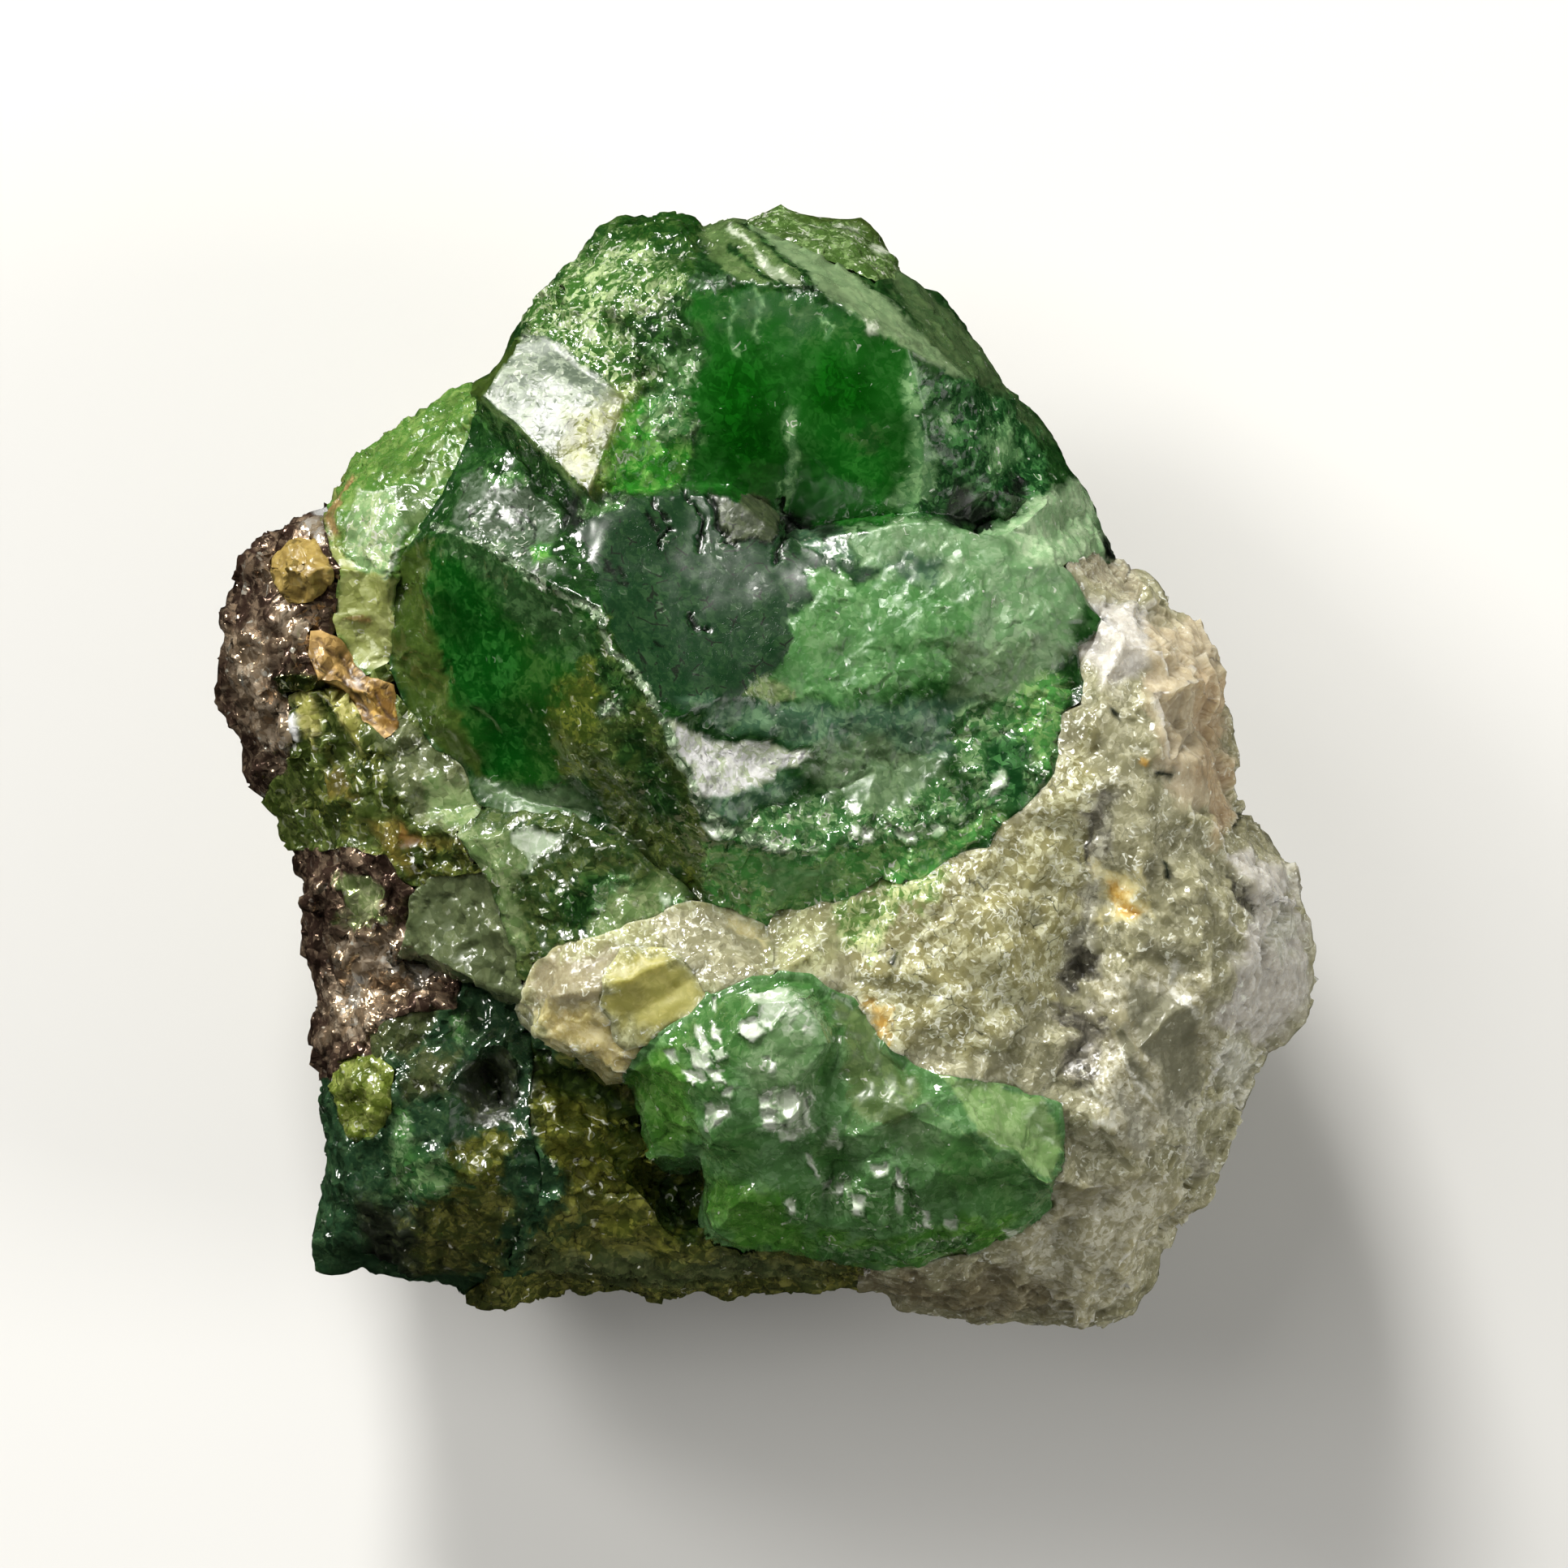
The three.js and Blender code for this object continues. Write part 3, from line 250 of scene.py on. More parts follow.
class Skin(Enum):
    """The finishes of the stone's surfaces."""

    GREEN = Finish((22, 60, 20), (44, 88, 36), 0.4, 0.2, 0.25, 0.05, 0.05, 0.03, 0.02)
    WINDOW = Finish((26, 93, 24), (46, 110, 41), 0.4, 0.14, 0.04, 0.02, 0.0, 0.0, 0.01)
    WINDOW_DEEP = Finish((8, 72, 7), (18, 102, 16), 0.4, 0.12, 0.03)
    WINDOW_BRIGHT = Finish((22, 102, 23), (48, 130, 43), 0.4, 0.14, 0.03)
    WINDOW_MIST = Finish((26, 88, 24), (66, 112, 50), 0.34, 0.3, 0.05, 0.12)
    DULL = Finish((22, 66, 18), (50, 96, 40), 0.4, 0.5, 0.5, 0.2, 0.0, 0.22, 0.2)
    VEIL = Finish((86, 140, 81), (149, 198, 132), 0.45, 0.3, 0.15, 0.14)
    MOTTLED = Finish((22, 67, 28), (72, 132, 70), 0.42, 0.2, 0.3, 0.14, 0.05, 0.05, 0.04)
    # Near-black: dark cracks and specks, and painted shade at the foot of the ledges.
    BLACK = Finish((8, 18, 9), (22, 36, 22), 0.4, 0.3, 0.5)
    LOBE = Finish((28, 68, 20), (66, 100, 42), 0.34, 0.18, 0.14, 0.12, 0.0, 0.1, 0.14)
    OLIVE_FACE = Finish((83, 111, 61), (117, 143, 88), 0.4, 0.16, 0.23, 0.11, 0.0, 0.03)
    # Pale, near-white strip: a painted highlight along an edge.
    BEVEL_PAINTED_HIGHLIGHT = Finish((146, 164, 130), (218, 228, 204), 0.5, 0.12, 0.5, 0.4, 0.1)
    # Pale grey-green band: partly a painted reflection on the bevelled facet.
    CHAMFER = Finish((114, 143, 98), (134, 161, 113), 0.45, 0.3, 0.08)
    BACK_FACET = Finish((67, 96, 54), (87, 113, 66), 0.45, 0.28, 0.07, 0.03, 0.0, 0.03, 0.03)
    OLIVE = Finish((72, 102, 46), (140, 171, 106), 0.4, 0.14, 0.84, 0.52, 0.0, 0.1, 0.08)
    FROSTED = Finish((63, 107, 43), (195, 217, 157), 0.36, 0.12, 0.55, 0.75, 0.05, 0.16, 0.03)
    POCKET = Finish((51, 135, 38), (121, 183, 85), 0.42, 0.14, 0.45, 0.2, 0.0, 0.12, 0.05)
    # Silvery paint with dark green flecks on the facet that mirrors the key light: a painted reflection. The gold one
    # is its yellowish part.
    MIRROR = Finish((92, 108, 88), (160, 174, 150), 0.46, 0.42, 0.8, 0.25, 0.3)
    MIRROR_GOLD = Finish((118, 122, 48), (172, 178, 100), 0.5, 0.48, 0.8, 0.3, 0.3)
    DARK_STRIP = Finish((24, 55, 21), (60, 106, 47), 0.35, 0.16, 0.63, 0.14, 0.0, 0.05)
    # Grey paint with dark green flecks on a glassy facet: a painted grey reflection.
    GREY_MIRROR = Finish((98, 118, 94), (54, 80, 48), 0.5, 0.34, 0.35, 0.14, 0.6, 0.05)
    BASIN = Finish((22, 58, 28), (44, 80, 42), 0.4, 0.32, 0.1, 0.02, 0.9, 0.0, 0.01)
    KHAKI = Finish((52, 66, 34), (78, 92, 52), 0.45, 0.5, 0.27, 0.04, 0.5, 0.03)
    BRIGHT = Finish((74, 134, 64), (108, 160, 94), 0.4, 0.44, 0.28, 0.07, 0.0, 0.06, 0.02)
    BRIGHT_TOP = Finish((85, 141, 72), (114, 158, 101), 0.45, 0.34, 0.22, 0.08, 0.0, 0.05)
    MEDIUM = Finish((104, 150, 94), (141, 176, 128), 0.45, 0.46, 0.22, 0.08, 0.0, 0.05, 0.015)
    GREY_GREEN = Finish((84, 116, 72), (113, 143, 97), 0.45, 0.42, 0.2, 0.06, 0.03, 0.05, 0.02)
    DARK_BAND = Finish((57, 97, 67), (103, 141, 101), 0.42, 0.36, 0.19, 0.04, 0.03, 0.04, 0.03)
    # Near-white paint on the conchoidal shell face: a painted highlight over its silky break.
    SHELL_PAINTED_HIGHLIGHT = Finish((190, 202, 170), (247, 247, 247), 0.55, 0.22, 1.1, 0.5, 0.1, 0.05)
    SPARKLY = Finish((62, 112, 58), (142, 178, 122), 0.4, 0.12, 0.4, 0.5, 0.05, 0.16, 0.07)
    RIM_GREEN = Finish((80, 148, 70), (148, 190, 114), 0.4, 0.14, 0.35, 0.3, 0.0, 0.12, 0.07)
    PALE_GREEN = Finish((150, 189, 137), (189, 216, 171), 0.45, 0.28, 0.15, 0.06, 0.03, 0.05, 0.03)
    FACE = Finish((24, 77, 19), (59, 105, 42), 0.38, 0.14, 0.1, 0.04, 0.0, 0.0, 0.02)
    FACE_DEEP = Finish((11, 71, 14), (41, 108, 38), 0.35, 0.12, 0.05)
    FACE_GREY = Finish((41, 78, 37), (77, 116, 67), 0.4, 0.2, 0.24, 0.08, 0.0, 0.03, 0.02)
    OLIVE_WALL = Finish((63, 87, 31), (80, 103, 41), 0.4, 0.2, 0.09, 0.03, 0.0, 0.04, 0.04)
    STAINED = Finish((66, 87, 27), (121, 133, 50), 0.4, 0.22, 0.34, 0.12, 0.03, 0.03)
    BROWN = Finish((64, 86, 36), (121, 137, 71), 0.4, 0.18, 0.54, 0.28, 0.0, 0.05, 0.04)
    CRUMB = Finish((76, 100, 70), (184, 208, 170), 0.5, 0.14, 1.72, 0.83, 0.0, 0.14)
    PALE_WEDGE = Finish((107, 135, 79), (148, 166, 115), 0.45, 0.18, 0.39, 0.11, 0.0, 0.06, 0.03)
    WEDGE_DARK = Finish((50, 76, 32), (92, 110, 56), 0.42, 0.24, 0.3, 0.12, 0.03, 0.1, 0.04)
    GREASY = Finish((85, 97, 64), (99, 110, 74), 0.45, 0.24, 0.15, 0.06, 0.05, 0.1, 0.05)
    TAIL = Finish((150, 160, 80), (174, 182, 110), 0.4, 0.46, 0.15, 0.1, 0.0, 0.05, 0.03)
    RIM_TOP = Finish((82, 129, 49), (128, 160, 81), 0.42, 0.26, 0.31, 0.12, 0.0, 0.1, 0.06)
    RIM_FROST = Finish((140, 177, 117), (196, 214, 161), 0.4, 0.2, 0.35, 0.55, 0.0, 0.05, 0.02)
    RIND = Finish((139, 114, 63), (177, 151, 94), 0.45, 0.4, 0.56, 0.08, 0.2, 0.1)
    GRAPHITE = Finish((80, 62, 52), (178, 154, 128), 0.34, 0.2, 0.42, 0.12, 0.3, 0.2, 0.2)
    # Pale paint for the schist's bright metallic glints.
    GRAPHITE_PAINTED_GLINT = Finish((204, 184, 152), (250, 246, 236), 0.5, 0.14, 0.59, 0.4, 0.2, 0.2, 0.12)
    GRAPHITE_LILAC = Finish((160, 138, 111), (246, 226, 198), 0.4, 0.18, 0.45, 0.25, 0.3, 0.2, 0.2)
    GRAPHITE_GREEN = Finish((150, 174, 104), (238, 246, 188), 0.45, 0.16, 0.7, 0.33, 0.05, 0.12, 0.1)
    # Near-white: painted glints on shiny plates.
    PAINTED_PLATE_GLINT = Finish((214, 216, 214), (250, 250, 250), 0.5, 0.14, 0.3, 0.3, 0.2, 0.04)
    OCHRE = Finish((133, 112, 56), (154, 133, 71), 0.45, 0.36, 0.32, 0.08, 0.15, 0.2, 0.1)
    RUST = Finish((132, 104, 56), (190, 156, 94), 0.42, 0.4, 0.3, 0.06, 0.3, 0.04)
    RUST_BRIGHT = Finish((109, 79, 29), (166, 134, 59), 0.45, 0.4, 0.6, 0.1, 0.3, 0.04)
    RUST_DARK = Finish((54, 38, 22), (92, 68, 40), 0.4, 0.4, 0.5)
    DIOPSIDE = Finish((60, 76, 28), (109, 124, 63), 0.42, 0.2, 0.5, 0.2, 0.1, 0.26, 0.1)
    DIOPSIDE_PALE = Finish((152, 153, 77), (203, 198, 128), 0.42, 0.18, 0.4, 0.2, 0.0, 0.12)
    DIOPSIDE_GREY = Finish((87, 98, 62), (117, 125, 87), 0.42, 0.28, 0.3, 0.14, 0.05, 0.14, 0.08)
    DIOPSIDE_DARK = Finish((50, 64, 26), (118, 126, 56), 0.36, 0.16, 0.8, 0.3, 0.2, 0.26)
    AMBER = Finish((84, 79, 29), (129, 118, 51), 0.4, 0.24, 0.7, 0.15, 0.15, 0.12)
    # Gold, lightened as painted light against the shade on the grain's facets.
    GOLDEN_PAINTED_LIGHT = Finish((160, 156, 84), (176, 170, 100), 0.42, 0.5, 0.1, 0.03, 0.0, 0.0, 0.02)
    GOLDEN_SHADE = Finish((106, 102, 52), (122, 118, 66), 0.42, 0.55, 0.1, 0.03, 0.0, 0.0, 0.02)
    YELLOW_GREEN = Finish((100, 118, 42), (156, 168, 88), 0.42, 0.16, 0.4, 0.2, 0.0, 0.14, 0.06)
    CREAM = Finish((149, 149, 109), (186, 189, 149), 0.45, 0.1, 0.5, 0.6, 0.0, 0.1, 0.08)
    CREAM_PINK = Finish((144, 136, 106), (162, 156, 126), 0.42, 0.28, 0.3, 0.3, 0.0, 0.05, 0.06)
    # Lighter cream: painted light that lifts the shade on the grain's lower left facets.
    CREAM_LOW_PAINTED_LIGHT = Finish((190, 176, 116), (218, 206, 156), 0.45, 0.28, 0.5, 0.4, 0.0, 0.08, 0.06)
    LOWER = Finish((84, 130, 74), (116, 160, 106), 0.42, 0.09, 0.3, 0.04, 0.0, 0.03, 0.08)
    LOWER_DEEP = Finish((74, 124, 62), (106, 150, 88), 0.38, 0.09, 0.25, 0.02, 0.0, 0.02, 0.07)
    LOWER_LIGHT = Finish((76, 133, 48), (114, 167, 78), 0.42, 0.1, 0.3, 0.08, 0.0, 0.04, 0.08)
    LOWER_PALE = Finish((130, 168, 100), (158, 190, 128), 0.42, 0.2, 0.12, 0.03, 0.0, 0.02, 0.02)
    LOWER_OLIVE = Finish((84, 112, 56), (108, 134, 74), 0.42, 0.4, 0.14, 0.06, 0.0, 0.01, 0.03)
    # Paler milky green, partly a painted grey sheen.
    LOWER_MILKY_SHEEN = Finish((104, 142, 90), (142, 172, 126), 0.42, 0.1, 0.12, 0.06, 0.0, 0.02, 0.05)
    # Whitish paint for highlights, mostly on small faces tilted to mirror a lamp: painted highlights on real facets.
    PAINTED_GLINTS = Finish((188, 208, 176), (228, 238, 220), 0.5, 0.22, 0.12)
    # Pale green: painted glow and highlight.
    PAINTED_GLOW = Finish((150, 182, 136), (224, 236, 214), 0.42, 0.18, 0.4, 0.6, 0.0, 0.06)
    # Green with many bright specks: painted glints, partly pale inclusions.
    GLITTER = Finish((78, 128, 66), (150, 186, 134), 0.38, 0.1, 0.5, 0.6, 0.0, 0.16)
    SMOKY = Finish((38, 66, 42), (62, 92, 58), 0.4, 0.15, 0.28, 0.06, 0.06, 0.2, 0.1)
    # Dark: painted shade in the deep hollow, and darker towards the lower edge.
    SMOKY_DARK_AND_SHADE = Finish((30, 40, 18), (61, 73, 35), 0.36, 0.5, 0.2, 0.08, 0.06, 0.1)
    SMOKY_GREEN = Finish((53, 96, 49), (113, 147, 94), 0.4, 0.14, 0.39, 0.15, 0.0, 0.12)
    SMOKY_PALE = Finish((68, 79, 46), (97, 104, 65), 0.42, 0.18, 0.32, 0.1, 0.08, 0.16, 0.06)
    HOST = Finish((65, 73, 31), (126, 126, 58), 0.38, 0.26, 0.35, 0.08, 0.3, 0.14, 0.16)
    HOST_GOLD = Finish((72, 80, 26), (124, 126, 50), 0.42, 0.26, 0.55, 0.19, 0.3, 0.14, 0.1)
    # Near-black: painted shadow under the cream grain's overhang and in the hollow beside the lower crystal.
    HOST_PAINTED_SHADOW = Finish((25, 40, 9), (61, 81, 24), 0.36, 0.3, 0.6, 0.08, 0.2, 0.14, 0.1)
    QUARTZ = Finish((144, 142, 112), (184, 182, 154), 0.42, 0.1, 0.6, 0.5, 0.12, 0.08, 0.06)
    QUARTZ_GREY = Finish((162, 158, 128), (206, 204, 184), 0.42, 0.22, 0.28, 0.1, 0.05, 0.08, 0.08)
    QUARTZ_VIOLET = Finish((186, 182, 172), (208, 206, 198), 0.45, 0.28, 0.33, 0.16, 0.02, 0.09, 0.06)
    # Pinkish paint: painted light shining through the thin translucent edge from behind.
    QUARTZ_PAINTED_PINK_LIGHT = Finish((184, 171, 143), (202, 191, 164), 0.42, 0.22, 0.12, 0.04, 0.0, 0.04, 0.06)
    QUARTZ_TAN = Finish((146, 142, 100), (202, 202, 168), 0.42, 0.09, 0.7, 1.0, 0.25, 0.08, 0.05)
    QUARTZ_SHADE = Finish((157, 155, 136), (206, 206, 186), 0.4, 0.16, 0.5, 0.25, 0.1, 0.1, 0.06)
    # Pale quartz, partly painted highlights on edges and on the right lobe.
    QUARTZ_WHITE_AND_GLINT = Finish((186, 186, 170), (226, 226, 214), 0.45, 0.12, 0.5, 0.4, 0.03, 0.12, 0.06)
    QUARTZ_BROWN = Finish((180, 160, 128), (204, 188, 158), 0.42, 0.2, 0.3, 0.1, 0.05, 0.08, 0.08)
    QUARTZ_DARK = Finish((118, 111, 86), (148, 141, 114), 0.42, 0.16, 0.3, 0.05, 0.05, 0.1, 0.08)
    # Near-black: painted shade in pits and crevices.
    QUARTZ_HOLLOW_SHADE = Finish((66, 64, 54), (112, 110, 94), 0.36, 0.3, 0.5, 0.1, 0.0, 0.08)
    QUARTZ_GLASS = Finish((126, 125, 103), (145, 144, 121), 0.42, 0.22, 0.08, 0.04, 0.03, 0.03, 0.06)
    # Darker grey: painted shade in the crevices between quartz lumps.
    CREVICE_PAINTED_SHADE = Finish((104, 101, 88), (154, 150, 134), 0.38, 0.3, 0.6, 0.1, 0.1, 0.08)
    CONTACT = Finish((106, 140, 73), (207, 214, 159), 0.42, 0.12, 0.7, 0.7, 0.08, 0.12, 0.05)
    STAIN = Finish((222, 212, 158), (238, 234, 196), 0.4, 0.2, 0.39, 0.2, 0.0, 0.1, 0.06)
    OCHRE_STAIN = Finish((196, 156, 76), (222, 196, 124), 0.4, 0.2, 0.4, 0.3, 0.0, 0.1, 0.06)
    BRONZE = Finish((155, 148, 124), (199, 196, 170), 0.42, 0.22, 0.5, 0.15, 0.1, 0.08)


@dataclass(frozen=True)
class Zone:
    """One area of the face with a finish of its own. Lengths are in grid steps."""

    skin: Skin
    outline: Outline
    soft: float = 5.0  # half the width over which it fades out
    ragged: float = 7.0  # how far its edge wanders
    width: float = 0.0  # above 0, the outline is an open line of this half width
    lift: float = 0.0  # how far the area stands up, in mm
    steps: Triple = (0.0, 1.0, 0.0)  # heading in degrees, spacing and height in mm
    facet: tuple[float, float] | None = None  # tilt and heading in degrees of the flat face that the area becomes

    def ring(self) -> np.ndarray:
        """The outline's corners, across and down, two to a row."""
        return np.array(self.outline, dtype=float).reshape(-1, 2)


Zones = tuple[Zone, ...]


@dataclass
class Coat:
    """The finish of each vertex of a piece, as one row of numbers for each vertex."""

    FARTHEST = 2.5  # how far a border of raggedness 1 wanders, in grid steps
    SHAKE = 0.35  # how far the lines between steps wander, as a share of their spacing

    places: np.ndarray  # in mm
    base: Skin

    def rows(self, zones: Zones, fade: tuple[float, float]) -> tuple[np.ndarray, np.ndarray, np.ndarray]:
        """Lays the zones over the base finish.

        Args:
            zones: the zones, later ones on top.
            fade: the heights in mm between which the zones come in on the way up.

        Returns:
            One row of finish numbers for each vertex, how far the zones raise it in mm, and how far up it moves to
            lie on a flat face.
        """
        rows = np.tile(self.base.value.row(), (len(self.places), 1))
        raised = np.zeros(len(self.places))
        level = np.zeros(len(self.places))
        up = self.faded_in(fade)
        flat = self.swayed()
        wander = self.wandering()
        for zone in zones:
            ring = zone.ring()
            reach = zone.soft + self.FARTHEST * zone.ragged + zone.width
            near = np.all((flat > ring.min(axis=0) - reach) & (flat < ring.max(axis=0) + reach), axis=1)
            depth = self.depth(zone, flat[near] + wander[near] * zone.ragged)
            weight = smoothstep(-zone.soft, zone.soft, depth) * up[near]
            rows[near] += (zone.skin.value.row() - rows[near]) * weight[:, None]
            raised[near] += (zone.lift - raised[near]) * weight
            heading, spacing, height = zone.steps
            if height > 0.0:
                ahead = np.array([math.cos(math.radians(heading)), -math.sin(math.radians(heading))]) / GRID
                along = flat[near] @ ahead + self.SHAKE * spacing * wander[near, 0]
                raised[near] += height * weight * (np.mod(along / spacing, 1.0) - 0.5)
            if zone.facet is not None and weight.any():
                level[near] += (self.flattened(zone.facet, self.places[near], weight) - level[near]) * weight
        return rows, raised, level

    def faded_in(self, fade: tuple[float, float]) -> np.ndarray:
        """How strongly the zones show at each place, by its height.

        Args:
            fade: the heights in mm between which they come in.

        Returns:
            One share for each place.
        """
        height, width = TONGUES
        uneven = height * Fracture.rough(self.places, width, 2, 400)
        return smoothstep(*fade, self.places[:, 2] + uneven)

    def swayed(self) -> np.ndarray:
        """The places on the grid, which sway on the sides so that no border there runs straight down."""
        sway = np.stack([Fracture.rough(self.places, 2.8, 2, seed) for seed in (500, 520)], axis=1)
        return on_grid(self.places) + SWAY * sway * (1.0 - smoothstep(*SWAY_ENDS, self.places[:, 2]))[:, None]

    def wandering(self) -> np.ndarray:
        """How far each place's borders wander, for a zone that is ragged by one grid step.

        Returns:
            Two grid values for each place.
        """
        still = self.places * np.array([1.0, 1.0, 0.3])
        axes = [Fracture.rough(still, 0.9, 3, seed) + Fracture.facets(still, 0.4, seed + 30) for seed in (11, 223)]
        return np.stack(axes, axis=1)

    @staticmethod
    def flattened(facet: tuple[float, float], places: np.ndarray, weight: np.ndarray) -> np.ndarray:
        """How far each place moves up to lie on one flat face.

        Args:
            facet: the face's tilt and heading in degrees.
            places: the places in mm.
            weight: how much each place counts for the face's middle.

        Returns:
            One height in mm for each place.
        """
        tilt, heading = (math.radians(angle) for angle in facet)
        slope = np.array([math.cos(heading), math.sin(heading)]) * math.tan(tilt)
        middle = np.average(places, axis=0, weights=weight)
        rise = middle[2] - (places[:, :2] - middle[:2]) @ slope - places[:, 2]
        return np.clip(rise, -FLAT_REACH, FLAT_REACH)

    @staticmethod
    def depth(zone: Zone, flat: np.ndarray) -> np.ndarray:
        """How far each place lies inside a zone: below 0 outside it.

        Args:
            zone: the zone.
            flat: places on the grid, two to a row.

        Returns:
            One distance in grid steps for each place.
        """
        ring = zone.ring()
        closed = zone.width <= 0.0
        nearest = np.full(len(flat), 1e9)
        odd = np.zeros(len(flat), dtype=bool)
        for i in range(len(ring) if closed else len(ring) - 1):
            a, b = ring[i], ring[(i + 1) % len(ring)]
            along = b - a
            t = np.clip(((flat - a) @ along) / max(along @ along, 1e-9), 0.0, 1.0)
            gap = flat - (a + t[:, None] * along)
            nearest = np.minimum(nearest, np.hypot(gap[:, 0], gap[:, 1]))
            if closed and a[1] != b[1]:
                cross = a[0] + (flat[:, 1] - a[1]) * along[0] / along[1]
                odd ^= ((a[1] > flat[:, 1]) != (b[1] > flat[:, 1])) & (flat[:, 0] < cross)
        return np.where(odd, nearest, -nearest) if closed else zone.width - nearest


@dataclass
class Cells:
    """The sockets of a pattern of cells."""

    distance: bpy.types.NodeSocket
    colour: bpy.types.NodeSocket
    heart: bpy.types.NodeSocket
    random: bpy.types.NodeSocket


@dataclass
class Wiring:
    """Short ways to add and link shader nodes in one tree."""

    tree: bpy.types.NodeTree

    def node(self, kind: str) -> bpy.types.Node:
        """Adds a node of a kind."""
        return self.tree.nodes.new(kind)

    def link(self, source: Source, target: bpy.types.NodeSocket) -> None:
        """Links a socket to an input, or sets the input to a value.

        Args:
            source: an output socket, a number or a colour.
            target: the input socket.
        """
        if isinstance(source, bpy.types.NodeSocket):
            self.tree.links.new(source, target)
        else:
            target.default_value = source

    def maths(self, operation: str, a: Source, b: Source) -> bpy.types.NodeSocket:
        """Does sums with two values.

        Args:
            operation: the name of the operation.
            a: the first value or socket.
            b: the second value or socket.

        Returns:
            The result's socket.
        """
        node = self.node("ShaderNodeMath")
        node.operation = operation
        self.link(a, node.inputs[0])
        self.link(b, node.inputs[1])
        return node.outputs[0]

    def times(self, a: Source, b: Source) -> bpy.types.NodeSocket:
        """The product of two values."""
        return self.maths("MULTIPLY", a, b)

    def plus(self, a: Source, b: Source) -> bpy.types.NodeSocket:
        """The sum of two values."""
        return self.maths("ADD", a, b)

    def ramp(self, value: Source, low: float, high: float) -> bpy.types.NodeSocket:
        """Maps low to 0 and high to 1, smoothly.

        Args:
            value: the value or socket.
            low: the value that gives 0.
            high: the value that gives 1.

        Returns:
            The result's socket.
        """
        node = self.node("ShaderNodeMapRange")
        node.interpolation_type = "SMOOTHSTEP"
        self.link(value, node.inputs["Value"])
        node.inputs["From Min"].default_value = min(low, high)
        node.inputs["From Max"].default_value = max(low, high)
        node.inputs["To Min"].default_value = 0.0 if low < high else 1.0
        node.inputs["To Max"].default_value = 1.0 if low < high else 0.0
        return node.outputs["Result"]

    def mix(self, factor: Source, a: Source, b: Source) -> bpy.types.NodeSocket:
        """Mixes two colours.

        Args:
            factor: 0 for the first colour, 1 for the second.
            a: the first colour or socket.
            b: the second colour or socket.

        Returns:
            The result's socket.
        """
        node = self.node("ShaderNodeMix")
        node.data_type = "RGBA"
        self.link(factor, node.inputs[0])
        self.link(a, node.inputs[6])
        self.link(b, node.inputs[7])
        return node.outputs[2]

    def noise(self, where: bpy.types.NodeSocket, scale: Source, detail: float, rough: float) -> bpy.types.NodeSocket:
        """Adds smooth noise.

        Args:
            where: the coordinates.
            scale: the noise's scale per metre.
            detail: its octaves.
            rough: the strength of the finer octaves.

        Returns:
            The noise's socket.
        """
        node = self.node("ShaderNodeTexNoise")
        self.link(where, node.inputs["Vector"])
        self.link(scale, node.inputs["Scale"])
        node.inputs["Detail"].default_value = detail
        node.inputs["Roughness"].default_value = rough
        return node.outputs[0]

    def voronoi(self, where: bpy.types.NodeSocket, scale: Source) -> Cells:
        """Adds a pattern of cells.

        Args:
            where: the coordinates.
            scale: the scale per metre.

        Returns:
            The pattern's sockets: the distance from each cell's middle, and its own colour, middle and number.
        """
        node = self.node("ShaderNodeTexVoronoi")
        self.link(where, node.inputs["Vector"])
        self.link(scale, node.inputs["Scale"])
        apart = self.node("ShaderNodeSeparateColor")
        self.tree.links.new(node.outputs["Color"], apart.inputs[0])
        return Cells(node.outputs["Distance"], node.outputs["Color"], node.outputs["Position"], apart.outputs[2])

    def borders(self, where: bpy.types.NodeSocket, scale: Source) -> bpy.types.NodeSocket:
        """Adds the distance from the border between cells.

        Args:
            where: the coordinates.
            scale: the scale per metre.

        Returns:
            The distance's socket.
        """
        node = self.node("ShaderNodeTexVoronoi")
        node.feature = "DISTANCE_TO_EDGE"
        self.link(where, node.inputs["Vector"])
        self.link(scale, node.inputs["Scale"])
        return node.outputs["Distance"]

    def vector(self, operation: str, a: Source, b: Source) -> bpy.types.NodeSocket:
        """Does sums with two vectors.

        Args:
            operation: the name of the operation.
            a: the first vector or socket.
            b: the second vector or socket.

        Returns:
            The result's socket.
        """
        node = self.node("ShaderNodeVectorMath")
        node.operation = operation
        self.link(a, node.inputs[0])
        self.link(b, node.inputs[1])
        return node.outputs["Value" if operation == "DOT_PRODUCT" else "Vector"]

    def turn(self, where: bpy.types.NodeSocket, angle: Source, stretch: Triple) -> bpy.types.NodeSocket:
        """Turns coordinates about the upright axis and stretches them.

        Args:
            where: the coordinates.
            angle: the angle or its socket.
            stretch: the factor on each axis afterwards.

        Returns:
            The new coordinates.
        """
        node = self.node("ShaderNodeVectorRotate")
        node.rotation_type = "Z_AXIS"
        self.link(where, node.inputs["Vector"])
        self.link(angle, node.inputs["Angle"])
        return self.vector("MULTIPLY", node.outputs[0], stretch)

    def bend(self, where: bpy.types.NodeSocket, scale: float, reach: float) -> bpy.types.NodeSocket:
        """Bends coordinates with noise.

        Args:
            where: the coordinates.
            scale: the noise's scale per metre.
            reach: how far they are moved in metres.

        Returns:
            The bent coordinates.
        """
        noise = self.node("ShaderNodeTexNoise")
        self.link(where, noise.inputs["Vector"])
        noise.inputs["Scale"].default_value = scale
        noise.inputs["Detail"].default_value = 3.0
        node = self.node("ShaderNodeVectorMath")
        node.operation = "MULTIPLY_ADD"
        self.tree.links.new(noise.outputs["Color"], node.inputs[0])
        node.inputs[1].default_value = (reach, reach, reach)
        self.tree.links.new(where, node.inputs[2])
        return node.outputs[0]


